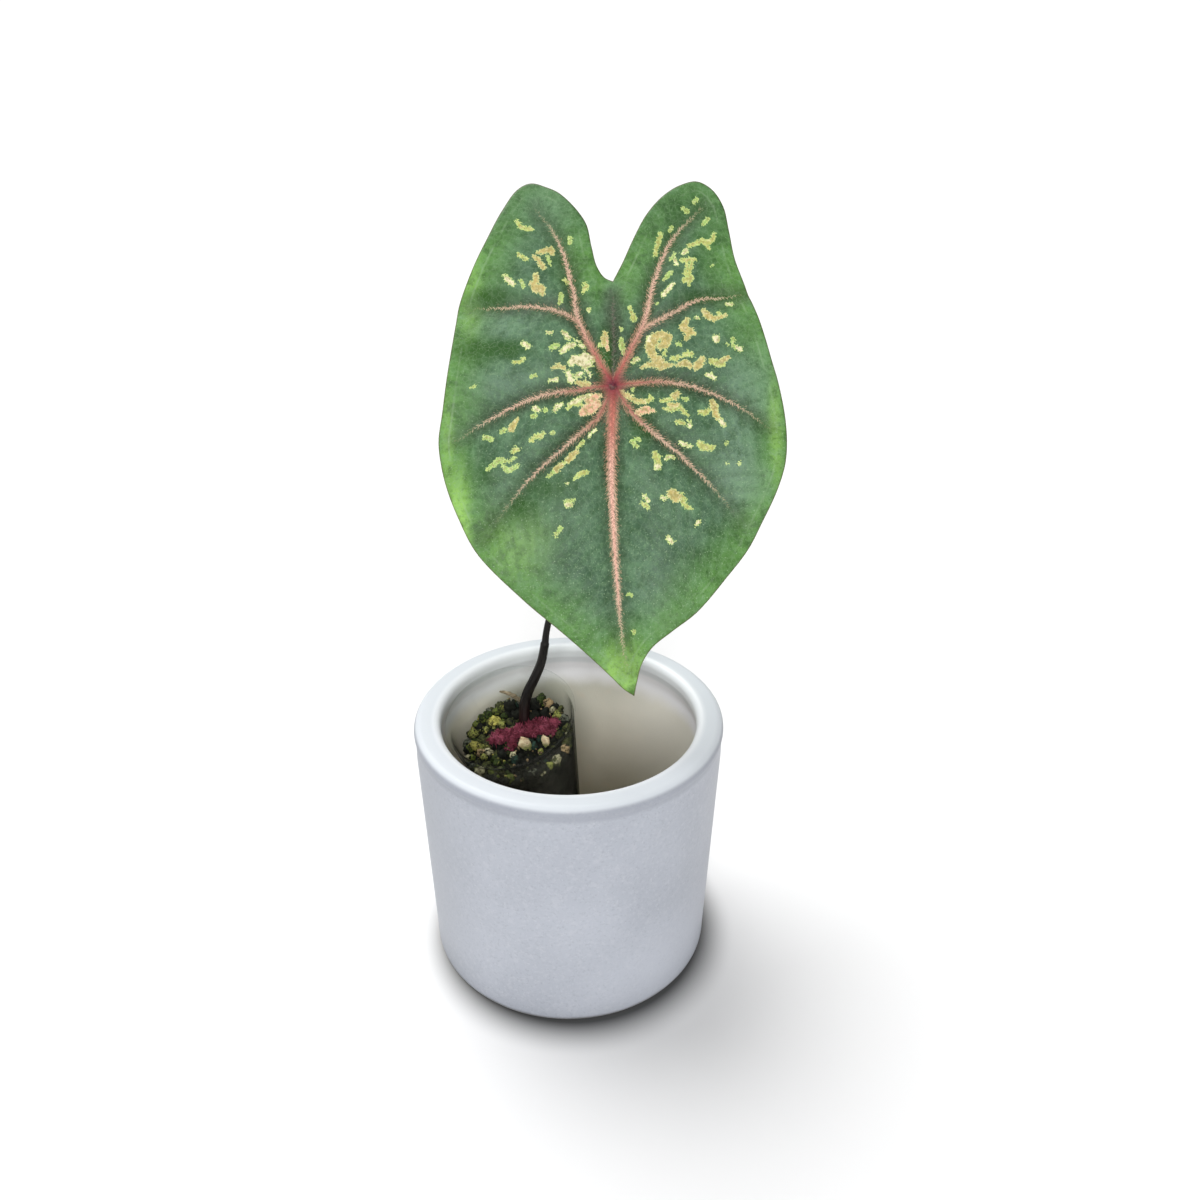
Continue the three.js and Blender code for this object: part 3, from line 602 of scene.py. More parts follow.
# Granules that stand out: x, y and height over the surface in the cup's frame, radius, colour.
ACCENTS = [
    (-11.3, 12.2, 1.0, 3.1, STRAW), (-7.3, 9.4, 0.6, 2.4, LIME), (-21.6, 7.2, 0.4, 2.7, LIME),
    (-23.2, -1.9, 0, 2.3, MOSSY), (-20.2, -1.3, 0.8, 2.3, STRAW), (-17.3, -5.4, 0.4, 2.4, TAN),
    (-13.3, -6.2, 0.6, 2.1, PALE), (-16.2, -8.2, 0, 2.0, LIME), (-2.2, -9.4, 0.3, 1.7, PALE),
    (-1.3, -12.6, 0, 2.3, TEAL), (-9.7, -12.5, 0, 2.4, LEAFY), (15.2, 18.2, 1.2, 2.4, TAN),
    (17.0, 14.6, 0.8, 1.7, PALE), (19.6, 10.4, 0.6, 2.6, LIME), (11.0, -9.6, 0.2, 1.7, LIME),
    (-15.6, 8.4, 0, 2.2, LIME), (-16.6, 2.6, 0, 2.1, OLIVE), (-14.6, 16.4, 1.6, 2.3, LEAFY),
    (-17.6, 15.6, 1.2, 2.0, LEAFY), (-10.4, 17.4, 1.5, 2.3, MOSSY), (-6.6, 15.2, 0.8, 2.0, LEAFY),
    (-3.2, 18.6, 2.6, 3.2, BLACK), (-1.0, 14.6, 1.6, 2.6, BLACK), (8.6, 17.6, 2.4, 3.2, BLACK),
    (11.8, 20.6, 2.2, 2.6, LEAFY), (8.4, 11.6, 1.0, 2.6, BLACK), (13.6, 12.6, 1.0, 2.4, BLACK),
    (22.6, 5.0, 0, 2.2, BLACK), (21.4, 14.2, 1.2, 1.9, OLIVE), (-3.0, -22.3, -0.4, 2.4, MOSSY),
    (7.2, -20.2, -0.6, 2.2, ASH), (11.2, -21.4, -0.2, 2.4, PALE), (18.4, -16.0, 0.2, 2.7, PALE),
    (15.2, -18.4, 0, 1.9, LIME), (22.4, -10.4, 0.2, 2.3, TAN), (-8.6, -17.8, 0, 2.4, OLIVE),
    (16.0, -10.6, 0, 2.4, BLACK), (5.4, -13.2, 0, 2.6, BLACK), (-7.4, -8.2, 0, 2.6, BLACK),
]

# Clumps of the moss, and the two chips: x, y in the cup's frame.
MOSS_CLUMPS = [
    (-11, 0.8), (-8.7, 3), (-7.3, 0), (-3.8, 2), (-2.6, -1.5), (-2.8, -4.6), (0, 0.6), (1.2, 3.8),
    (4, 1.4), (5.8, 5), (8.2, 1.2), (10, 6), (11.8, 2.4), (14, 5.6), (15.6, 1.6), (17.4, 4.4),
]
CHIPS = {
    "cream_chip_1": {"at": (4.2, -6.8), "size": (3.1, 1.9, 5.6), "turn": 0.25, "seed": 3},
    "cream_chip_2": {"at": (13.8, -5.8), "size": (2.9, 1.8, 4.1), "turn": -0.3, "seed": 8},
}
BARK_LINE = [
    (2.0, 22.5, 93.1), (0.9, 22.5, 95.4), (-0.9, 22.5, 98.6), (-3.6, 22.5, 101.6),
    (-7.0, 22.6, 103.9),
]
STEM_CLEAR = 3.4
SURFACE_TRIES, WALL_ROWS, WALL_COUNT, CRUMBS = 900, 4, 30, 520
BLACK_LEVEL, BLACK_TILT = 91.0, 3.6  # up to where the wall's granules are black
ROOM = 0.62  # how near granules may lie, as a share of their radii
MOSS_SEED, MOSS_STRANDS = 21, 150
MOSS_CORE = np.array([2.7, 2.7, 2.1])  # half sizes of a clump's soft core


def round_stone(divisions):
    """Vertices and triangles of a divided icosahedron of radius 1."""
    builder = bmesh.new()
    bmesh.ops.create_icosphere(builder, subdivisions=divisions, radius=1)
    vertices = np.array([v.co for v in builder.verts])
    faces = [[v.index for v in face.verts] for face in builder.faces]
    builder.free()
    return vertices, faces


STONE, SMALL_STONE, CRUMB = map(round_stone, STONE_DIVISIONS)


def random_direction(draw):
    z = draw.uniform(-1, 1)
    angle = draw.uniform(0, 2 * math.pi)
    flat = math.sqrt(1 - z * z)
    return np.array([flat * math.cos(angle), flat * math.sin(angle), z])


def broken(stone, centre, radii, draw, cuts=7, depth=(0.62, 0.86), grit=0.05):
    """A stone with flat broken sides and a gritty skin."""
    points = stone[0].copy()
    for _ in range(cuts):
        normal = random_direction(draw)
        reach = draw.uniform(*depth)
        over = np.maximum(points @ normal - reach, 0)
        points -= over[:, None] * normal
    offset = Vector([draw.uniform(0, 50) for _ in range(3)])
    lumps = np.array([noise.noise(Vector(p) * 1.9 + offset) for p in points])
    crumbs = np.array([noise.noise(Vector(p) * 5.5 + offset) for p in points])
    points *= (1 + grit * (2.5 * lumps + 1.2 * crumbs))[:, None]
    turn = Vector(random_direction(draw)).to_track_quat("Z", "Y").to_matrix()
    points = (points * np.asarray(radii)) @ np.array(turn).T
    return points + np.asarray(centre), stone[1]


def apart(x, y, radius, places):
    return all(math.hypot(x - p, y - q) > clear + radius for p, q, clear in places)


def surface_places(draw, stem):
    """Centre, radius and colour of each granule on the surface."""
    moss = [(x, y, 1.6) for x, y in MOSS_CLUMPS]
    chips = [(*chip["at"], 1.9) for chip in CHIPS.values()]
    taken = [(*stem, STEM_CLEAR), *chips]
    places = []
    for x, y, up, radius, colour in ACCENTS:
        places.append(((x, y, SURFACE + up), radius, colour))
        taken.append((x, y, radius * 0.66))
    reach = cup_radius(SURFACE) - CUP_WALL - 2.2
    for _ in range(SURFACE_TRIES):
        distance = reach * math.sqrt(draw.random())
        angle = draw.uniform(0, 2 * math.pi)
        x, y = distance * math.cos(angle), distance * math.sin(angle)
        radius = draw.uniform(1.6, 2.6)
        if apart(x, y, radius * ROOM, taken) and apart(x, y, 0.4, moss):
            mixed = LEFT_MIX if x < MIX_BORDER else RIGHT_MIX
            places.append(((x, y, SURFACE - draw.uniform(0.4, 1.6)), radius, draw.choice(mixed)))
            taken.append((x, y, radius * ROOM))
    return places


def wall_places(draw):
    """Centre, radius and colour of each granule against the cup's wall."""
    places = []
    for row in range(WALL_ROWS):
        for i in range(WALL_COUNT):
            angle = (i + 0.5 * (row % 2) + draw.uniform(-0.2, 0.2)) / WALL_COUNT * 2 * math.pi
            radius = draw.uniform(1.9, 2.6)
            level = MIX_TOP + 1.6 + row * 2.3 + draw.uniform(-0.5, 0.5)
            distance = cup_radius(level) - CUP_WALL - GAP - radius * 0.9
            # Behind the wall it is black up to the surface at the front, and lower at the back.
            black_below = BLACK_LEVEL - BLACK_TILT * math.sin(angle)
            mixed = [BLACK] if level < black_below else WALL_MIX
            at = (distance * math.cos(angle), distance * math.sin(angle), level)
            places.append((at, radius, draw.choice(mixed)))
    return places


def granule_bed():
    clear = CUP_WALL + GAP + 2.4
    edge = cup_radius(BED_TOP) - clear
    foot = MIX_TOP + GAP
    outline = [(0, foot), *straight((cup_radius(86) - clear, foot), (edge, BED_TOP - 0.4), 8)]
    outline += [*straight((edge - 1, BED_TOP), (1, BED_TOP), 20), (0, BED_TOP)]
    points, faces = turned(outline, 72)
    lumps = np.array([noise.noise(Vector(p) / 2.3) for p in points])
    points[:, 2] += np.where(points[:, 2] > BED_TOP - 1, lumps * 0.9, 0)
    return points, faces


def shaded(colour, brightness, stone):
    """The scene-linear colour of each vertex of a stone."""
    return np.tile(np.array(linear(colour)[:3]) * brightness, (len(stone[0]), 1))


def granules_shape(stem):
    """The granules, crumbs and their rough bed, with the colour of each vertex."""
    draw = random.Random(GRANULE_SEED)
    reach = cup_radius(SURFACE) - CUP_WALL - 1.2
    stones = []
    colours = []
    for centre, radius, colour in surface_places(draw, stem) + wall_places(draw):
        big = radius > 2.2 and centre[2] > SURFACE - 0.5
        kind = STONE if big else SMALL_STONE
        radii = [radius * draw.uniform(0.8, 1.15) for _ in range(3)]
        stones.append(broken(kind, centre, radii, draw, cuts=5, grit=0.16))
        colours.append(shaded(colour, draw.uniform(0.8, 1.2), kind))
    for _ in range(CRUMBS):
        x, y = (draw.uniform(-reach, reach) for _ in range(2))
        if math.hypot(x, y) < reach and apart(x, y, 0, [(*stem, PETIOLE_BASE + 0.6)]):
            radii = [draw.uniform(0.25, 1.1) for _ in range(3)]
            centre = (x, y, SURFACE + draw.uniform(-0.8, 2.2))
            stones.append(broken(CRUMB, centre, radii, draw, cuts=4, grit=0.2))
            mixed = LEFT_CRUMBS if x < MIX_BORDER else RIGHT_CRUMBS
            colours.append(shaded(draw.choice(mixed), draw.uniform(0.4, 1.0), CRUMB))
    # The bed is black: it stands for the lower granules and, as painted shade, for the gaps between
    # them.
    bed = granule_bed()
    stones.append(bed)
    colours.append(shaded(BLACK, 1, bed))
    vertices, faces = joined(stones)
    distance = np.hypot(vertices[:, 0], vertices[:, 1])
    limit = cup_radius(vertices[:, 2]) - CUP_WALL - GAP * 0.7
    vertices[:, :2] *= np.minimum(1, limit / np.maximum(distance, 1))[:, None]
    vertices[:, 2] = np.maximum(vertices[:, 2], MIX_TOP + 0.2)
    return (out_of_cup(vertices), faces), np.vstack(colours)


def granules_look():
    """Crumbly mineral and moss bits: each has its colour, mottled with dark and pale."""
    look = Look("granules", roughness=0.92, specular=0.2)
    channels = {name: look.value(name.lower()) for name in ("Red", "Green", "Blue")}
    own = look.output(0, "ShaderNodeCombineColor", channels)
    crumbs = look.noise(1.5, 5, rough=0.75)
    pale = look.noise(0.8, 4, rough=0.7).rise(0.56, 0.7) * 0.3 * channels["Green"].rise(0.02, 0.2)
    mottled = look.mix(crumbs.rise(0.56, 0.4), own, (26, 28, 20))
    grit = look.noise(0.9, 4, rough=0.7) + crumbs * 0.8
    return look.finished(look.mix(pale, mottled, (214, 206, 150)), grit, 0.9)


def spindle(start, direction, length, width, bend, sides=3, steps=3):
    """A slim closed strand that tapers to both ends and bends on its way."""
    share = np.linspace(0, 1, steps + 1)
    centres = start + np.outer(share * length, direction) + np.outer(share**2 * length, bend)
    radii = width * (0.35 + 0.65 * np.sin(np.pi * np.clip(share * 0.85 + 0.1, 0, 1)))
    radii[-1] = width * 0.12
    return tube(centres, radii, sides)


def moss_shape(stem):
    """Fluffy dyed moss: short curled strands that stand out of soft cores."""
    draw = random.Random(MOSS_SEED)
    parts = []
    # Painted highlight: how much of the moss's light colour each vertex takes, little on the cores
    # and most at the strands' tips.
    painted_highlight = []
    for x, y in MOSS_CLUMPS:
        centre = np.array([x, y, SURFACE + draw.uniform(0.3, 2.1)])
        size = MOSS_CORE * draw.uniform(0.85, 1.12)
        core = broken(STONE, centre, size, draw, grit=0.16)
        parts.append(core)
        painted_highlight.append(np.full(len(core[0]), 0.2))
        for _ in range(MOSS_STRANDS):
            out = random_direction(draw)
            out[2] = abs(out[2]) * 0.9 + 0.05
            out = unit(out)
            start = centre + out * size * draw.uniform(0.75, 0.98)
            direction = unit(out + 0.9 * random_direction(draw))
            bend = 0.8 * random_direction(draw)
            length, width = draw.uniform(0.7, 1.6), draw.uniform(0.14, 0.3)
            strand = spindle(start, direction, length, width, bend)
            parts.append(strand)
            tip = draw.uniform(0.2, 0.9)
            painted_highlight.append(np.linspace(tip * 0.6, tip, len(strand[0])))
    vertices, faces = joined(parts)
    # The stalk passes behind the moss, which keeps clear of it.
    away = vertices[:, :2] - stem
    distance = np.hypot(*away.T)
    push = np.maximum(1, (PETIOLE_BASE + 0.5) / np.maximum(distance, 0.1))
    vertices[:, :2] = stem + away * push[:, None]
    return (out_of_cup(vertices), faces), np.concatenate(painted_highlight)


def moss_look():
    look = Look("dyed_moss", roughness=0.9, specular=0.12)
    patches = look.noise(4.5, 4).rise(0.35, 0.68)
    dark = look.mix(patches, (64, 21, 31), (106, 40, 54))
    light = look.mix(patches, (128, 54, 70), (186, 104, 126))
    # The painted highlight mixes the dark moss colour towards the light one.
    return look.finished(look.mix(look.value("painted_highlight"), dark, light), look.noise(0.5, 4), 0.3)


def chip_shape(at, size, turn, seed):
    draw = random.Random(seed)
    form = {"cuts": 16, "depth": (0.35, 0.75), "grit": 0.12}
    points, faces = broken(round_stone(4), (0, 0, 0), (1, 1, 1), draw, **form)
    points[:, :2] *= 1.15 - 0.5 * np.clip(points[:, 2:], 0, 1)
    points *= np.array(size) / np.abs(points).max(0)
    turned_x = points[:, 0] * math.cos(turn) - points[:, 1] * math.sin(turn)
    turned_y = points[:, 0] * math.sin(turn) + points[:, 1] * math.cos(turn)
    points = np.stack([turned_x + at[0], turned_y + at[1], points[:, 2]], 1)
    foot = SURFACE - 1.3
    points[:, 2] += foot - points[:, 2].min()
    height = (points[:, 2] - foot) / (points[:, 2].max() - foot)
    return (out_of_cup(points), faces), height


def chip_look():
    look = Look("cream_chip", roughness=0.85, specular=0.2)
    cream = look.mix(look.noise(1.8, 4).rise(0.35, 0.7), (206, 178, 142), (232, 218, 180))
    # Olive green low on the chip, cream higher up.
    towards_top = (look.value("height") + look.noise(1.5, 3) * 0.5).rise(0.5, 0.95)
    grain = look.noise(0.9, 4, rough=0.7) + look.cells(0.9)
    return look.finished(look.mix(towards_top, (138, 142, 86), cream), grain, 0.5)


def bark_shape():
    """A curled splinter that stands on its right end and bends over to the left."""
    steps, sides = 48, 16
    line = smooth_curve(BARK_LINE, steps)
    ahead = unit(np.gradient(line, axis=0))
    deep = np.array([0, 1, 0])
    wide = np.cross(ahead, deep)
    share = np.linspace(0, 1, steps + 1)[:, None, None]
    angles = np.linspace(0, 2 * math.pi, sides, endpoint=False)[None, :, None]
    half = 0.5 + 0.8 * np.sin(math.pi * (0.12 + 0.8 * share))
    half = half + 0.14 * np.sin(31 * share + 2 * angles)
    across = half * np.cos(angles)
    curl = 0.3 * across**2
    rings = line[:, None] + across * wide[:, None]
    rings = rings + (0.55 * np.sin(angles) * np.sin(math.pi * (0.1 + 0.8 * share)) + curl) * deep
    faces = [face[::-1] for face in tube(line, np.ones(steps + 1), sides)[1]]
    return out_of_cup(rings.reshape(-1, 3)), faces


def bark_look():
    look = Look("bark", roughness=0.85, specular=0.25)
    grain = look.noise(1.2, 5, look.stretched(0.3, 1.0, 1.0), 0.7)
    colour = look.mix(grain.rise(0.35, 0.7), (104, 94, 72), (168, 154, 128))
    return look.finished(colour, grain, 0.3)


# ---------------------------------------------------------------- petiole

# The petiole's route above the tuber, in the part's frame.
ROUTE = [
    (-21.4, 18, 107.5), (-21.2, 19.3, 114.5), (-19.4, 20.3, 121.5), (-15.8, 21, 129.5),
    (-12.6, 21.6, 138), (-9.6, 22.4, 156), (-1.2, 24, 189), (9, 24.5, 226.5), (14.2, 23, 246),
    (18.9, 18, 269.9),
]
TUBER_DEPTH, TUBER_RADIUS, TUBER_FLATNESS = 24, 12.5, 0.68
TUBER_DROP = TUBER_DEPTH - TUBER_RADIUS * TUBER_FLATNESS  # from the surface to the tuber's top
PETIOLE_BASE, SHEATH_TOP, STEM_FOOT, STEM_TOP = 2.7, 1.9, 1.55, 1.3
SHEATH_SHARE = 0.25
STUB = 5
STEM_STEPS = 300


def petiole_line(count):
    route = np.array(ROUTE, float)
    down = unit(route[1] - route[0])
    return smooth_curve(np.vstack([route[0] - down * TUBER_DROP, route]), count)


def petiole_radius(share, surface):
    """Radius at shares of the whole route, which meets the surface at one of them."""
    above = np.clip((share - surface) / (1 - surface), 0, 1)
    sheath = PETIOLE_BASE + (SHEATH_TOP - PETIOLE_BASE) * above / SHEATH_SHARE
    stem = STEM_FOOT + (STEM_TOP - STEM_FOOT) * (above - SHEATH_SHARE) / (1 - SHEATH_SHARE)
    return np.where(above < SHEATH_SHARE, sheath, stem)


def petiole_shape():
    """The stalk, with the wrapping sheath whose free edge winds up to a small tongue."""
    sides = 40
    line = petiole_line(STEM_STEPS)
    length = along(line)[-1]
    share = np.linspace(0, 1, STEM_STEPS + 1)
    surface = TUBER_DROP / length
    kept = (share > GAP / length) & (share < 1 - (STUB - 0.6) / length)
    line, share = line[kept], share[kept]
    radii = petiole_radius(share, surface)
    vertices, faces = tube(line, radii, sides)
    rows = len(line)
    angle = np.tile(np.linspace(0, 2 * math.pi, sides, endpoint=False), rows)
    height = np.repeat((share - surface) / (1 - surface), sides)
    centre = np.repeat(line, sides, axis=0)
    radius = np.repeat(radii, sides)
    seam = 1.9 + 9 * height  # where the sheath's free edge lies, going round as it climbs
    gone = (angle - seam + math.pi) % (2 * math.pi) - math.pi
    fold = 0.24 * bell(gone, 0.28) - 0.2 * bell(gone + 0.42, 0.3)
    sheathed = 1 / (1 + np.exp((height - SHEATH_SHARE * 0.97) / 0.006))
    tongue = bell(height - SHEATH_SHARE, 0.016) * bell(gone, 0.8)
    ridges = np.sin(angle * 9) * (0.4 + 0.6 * sheathed)
    swell = fold * sheathed + 0.3 * tongue + 0.05 * ridges
    vertices = centre + (vertices - centre) * (1 + swell / radius)[:, None]
    return (vertices, faces), height


def petiole_look():
    look = Look("dark_petiole", roughness=0.5, specular=0.25)
    streaks = look.noise(0.9, 4, look.stretched(1.0, 1.0, 0.06), 0.65)
    height = look.value("height")
    colour = look.layers(
        look.mix(streaks.rise(0.4, 0.72), (10, 8, 7), (28, 24, 20)),
        (height.rise(0.08, -0.02) * 0.5, (46, 18, 20)),
        (height.rise(0.6, 1.0) * 0.6, (74, 44, 44)),
    )
    return look.finished(colour, streaks, 0.15)


# ---------------------------------------------------------------- leaf: outline and veins

LEAF_PLACE = np.array([18.9, 18, 269.9])
LEAF_LEAN = math.radians(30)
LEAF_X = np.array([1, 0, 0])
LEAF_Y = np.array([0, math.sin(LEAF_LEAN), math.cos(LEAF_LEAN)])
LEAF_Z = np.array([0, -math.cos(LEAF_LEAN), math.sin(LEAF_LEAN)])

RIGHT_MARGIN = [
    (0.5, 43.5), (4.5, 51), (9, 61), (14.5, 71.5), (21.5, 80), (29, 85.5), (36.5, 88),
    (43, 85), (47.5, 78), (49.5, 67), (51.5, 54), (55.5, 41.5), (60, 28), (65, 12.5),
    (68.5, 1), (71, -16), (70, -31.5), (66.5, -43), (61, -55), (55, -66.5), (45.5, -78.5),
    (33, -92.5), (23, -100), (15, -106.5), (11, -113), (9, -121), (8, -126.5),
]
LEFT_MARGIN = [
    (0.5, 43.5), (-3, 45.5), (-6, 50.5), (-8, 59), (-10.5, 70), (-20.5, 82.5), (-27, 86),
    (-33, 87.5), (-38.5, 84.5), (-45, 74), (-50.5, 62.5), (-57, 49), (-62.5, 35),
    (-64, 26), (-66, 11.5), (-69, -10), (-71, -22), (-70, -32), (-67.5, -42), (-63, -53.5),
    (-55.5, -68), (-37.5, -86.5), (-20.5, -101), (-11, -109.5), (-1, -119), (3.5, -123.5),
    (8, -126.5),
]

# The main veins. groove, width and rib are the form's, as in the solid. paint is half the
# width of the coloured band at its start, middle and three quarters, which ends at reach.
VEINS = [
    {"points": [(0, 0), (-1, -35), (0, -63), (1.5, -87), (3, -103), (5, -116)],
     "groove": 1.5, "width": 4, "rib": 1.6, "paint": (2.1, 1.6, 1.25), "reach": 117},
    {"points": [(0, 0), (-6, -13), (-16.5, -22.5), (-35, -39.5), (-45, -52), (-53, -63)],
     "groove": 1.1, "width": 3.4, "rib": 1.15, "paint": (0.85, 0.75, 0.6), "reach": 74},
    {"points": [(0, 0), (9.5, -13.5), (26.5, -28.5), (42, -44), (52, -56)],
     "groove": 1.1, "width": 3.4, "rib": 1.15, "paint": (0.9, 0.85, 0.65), "reach": 71},
    {"points": [(0, 0), (-16, -2.5), (-29, -4.5), (-47.5, -12.5), (-64, -22)],
     "groove": 1, "width": 3.2, "rib": 1, "paint": (0.7, 0.95, 0.75), "reach": 69},
    {"points": [(0, 0), (20, 1), (31, -0.5), (49, -7.5), (64, -17)],
     "groove": 1, "width": 3.2, "rib": 1, "paint": (0.8, 0.8, 0.65), "reach": 71},
    {"points": [(0, 0), (-6, 10.5), (-13.5, 26.5), (-16.5, 43), (-22, 62), (-31, 76)],
     "groove": 1.2, "width": 3.4, "rib": 1.2, "paint": (1.5, 1.05, 0.95), "reach": 84},
    {"points": [(-13.5, 26.5), (-19, 29.5), (-32, 32.5), (-46, 32.5), (-57, 33)],
     "groove": 1, "width": 3, "rib": 0.85, "paint": (0.95, 0.85, 0.7), "reach": 45},
    {"points": [(0, 0), (6, 12), (13, 26.5), (17, 42), (24.5, 60.5), (38.5, 77)],
     "groove": 1.2, "width": 3.4, "rib": 1.2, "paint": (1.5, 1.1, 0.9), "reach": 91},
    {"points": [(12, 23.5), (24, 29.5), (35, 35.5), (49.5, 37.5), (55, 38)],
     "groove": 1, "width": 3, "rib": 0.85, "paint": (1.1, 0.8, 0.65), "reach": 46},
    {"points": [(0, 0), (0.5, 22), (0.5, 37)],
     "groove": 0.5, "width": 2.4, "rib": 0.75, "paint": (0.5, 0.45, 0.45), "reach": 44},
]
NOTCH_VEIN = 9
BRANCH_VEINS = (6, 8)

# The form of the blade, as in the solid.
ARCH_ALONG, ARCH_CENTRE, ARCH_ACROSS = 0.001, -20, 0.0013  # both ends and both sides bend back
FOLD_RISE, FOLD_SPAN = 2.2, 14  # the two halves rise out of the midrib's valley
QUILT_RISE, QUILT_SPAN = 1.5, 9  # the pads between the veins
WAVE_HEIGHT, WAVE_COUNT = 1.8, 7  # waves of the margin
TIP_CURL, TIP_START = 0.006, -100

right_side = smooth_curve(RIGHT_MARGIN, 480)
left_side = smooth_curve(LEFT_MARGIN, 480)[::-1]
margin = np.vstack([right_side[:-1], left_side[:-1]])
fine_margin = np.vstack([smooth_curve(RIGHT_MARGIN, 4000), smooth_curve(LEFT_MARGIN, 4000)])
margin_tree = KDTree(len(fine_margin))
for number, place in enumerate(fine_margin):
    margin_tree.insert((*place, 0), number)
margin_tree.balance()
for vein in VEINS:
    vein["line"] = smooth_curve(vein["points"], 40)


def nearest_on(line, points):
    """For each point its distance to a polyline, how far along it that is, and on which side."""
    start, step = line[:-1], np.diff(line, axis=0)
    length = along(line)
    best = np.full(len(points), np.inf)
    where = np.zeros(len(points))
    side = np.zeros(len(points))
    for i in range(len(step)):
        from_start = points - start[i]
        squared = np.dot(step[i], step[i])
        share = np.clip(from_start @ step[i] / squared, 0, 1)
        distance = np.linalg.norm(from_start - share[:, None] * step[i], axis=1)
        closer = distance < best
        best = np.where(closer, distance, best)
        where = np.where(closer, length[i] + share * (length[i + 1] - length[i]), where)
        cross = step[i][0] * from_start[:, 1] - step[i][1] * from_start[:, 0]
        side = np.where(closer, np.sign(cross), side)
    return best, where, side


def to_the_margin(points):
    return np.array([margin_tree.find((x, y, 0))[2] for x, y in points])


def edge_share(points):
    """0 at the leaf's junction and 1 at its margin, along straight rays."""
    angles = np.arctan2(margin[:, 1], margin[:, 0])
    order = np.argsort(angles)
    reach = np.hypot(margin[:, 0], margin[:, 1])[order]
    own = np.arctan2(points[:, 1], points[:, 0])
    most = np.interp(own, angles[order], reach, period=2 * math.pi)
    return np.clip(np.hypot(points[:, 0], points[:, 1]) / most, 0, 1)


def blade_height(points, edge, distances):
    """Height of the blade's middle over the leaf's plane: the same form as the solid's."""
    x, y = points.T
    height = ARCH_ALONG * (ARCH_CENTRE**2 - (y - ARCH_CENTRE) ** 2) - ARCH_ACROSS * x**2
    height += FOLD_RISE * (1 - bell(x, FOLD_SPAN))
    for vein, distance in zip(VEINS, distances):
        height -= vein["groove"] * bell(distance, vein["width"]) * np.minimum(1, 3 * edge)
    nearest = np.min(distances, axis=0)
    height += QUILT_RISE * (1 - bell(nearest, QUILT_SPAN)) * np.minimum(1, 4 * edge)
    height += WAVE_HEIGHT * edge**4 * np.sin(WAVE_COUNT * np.arctan2(x, y))
    return height - TIP_CURL * np.minimum(0, y - TIP_START) ** 2


def from_leaf(points, height):
    """Points of the leaf's plane, and their heights over it, in the part's frame."""
    return LEAF_PLACE + points[:, :1] * LEAF_X + points[:, 1:] * LEAF_Y + height[:, None] * LEAF_Z


def pixels_on_leaf(pixels):
    """Where rays through pixels of the picture meet the blade, in the leaf's plane."""
    across = pixels[:, 0] - IMAGE_SIDE / 2
    up = IMAGE_SIDE / 2 - pixels[:, 1]
    rays = CAMERA_AHEAD * FOCAL_PIXELS + np.outer(across, CAMERA_RIGHT) + np.outer(up, CAMERA_UP)
    height = np.zeros(len(pixels))
    for _ in range(4):
        over = (LEAF_PLACE - CAMERA_PLACE) @ LEAF_Z + height
        hits = CAMERA_PLACE + rays * (over / (rays @ LEAF_Z))[:, None] - LEAF_PLACE
        places = np.stack([hits @ LEAF_X, hits @ LEAF_Y], 1)
        height = blade_height(places, edge_share(places), vein_distances(places))
    return places


# ---------------------------------------------------------------- leaf: side veins

SIDE_VEIN_STEP, SIDE_VEIN_REACH = 7.5, 34
FAR = 9.0  # the distance given to points that lie far from every fleck or side vein


def vein_distances(points):
    return [nearest_on(vein["line"], points)[0] for vein in VEINS]


def near_line(points, line, reach):
    """Numbers of the points that lie within reach of a line's box."""
    low = line.min(0) - reach
    high = line.max(0) + reach
    return np.flatnonzero(((points > low) & (points < high)).all(1))


def side_veins():
    """Fine veins that leave each main vein in pairs and bow towards the margin."""
    share = np.linspace(0, 1, 16)[:, None]
    lines = []
    for number, vein in enumerate(VEINS[:NOTCH_VEIN]):
        for station in np.arange(9, along(vein["line"])[-1] - 3, SIDE_VEIN_STEP):
            place = on_line(vein["line"], station)
            forward = unit(on_line(vein["line"], station + 2) - place)
            for side in (1, -1):
                out = np.array([-forward[1], forward[0]]) * side
                line = place + SIDE_VEIN_REACH * share * (out * 0.8 + forward * 0.45)
                line = line + 9 * share**2 * forward
                others = vein_distances(line)
                own = others.pop(number)
                inside = (own <= np.min(others, axis=0) + 0.5) & (edge_share(line) < 0.96)
                inside[0] = True
                stop = len(inside) if inside.all() else int(np.argmin(inside))
                if stop > 4:
                    lines.append(line[:stop])
    return lines


# ---------------------------------------------------------------- leaf: flecks

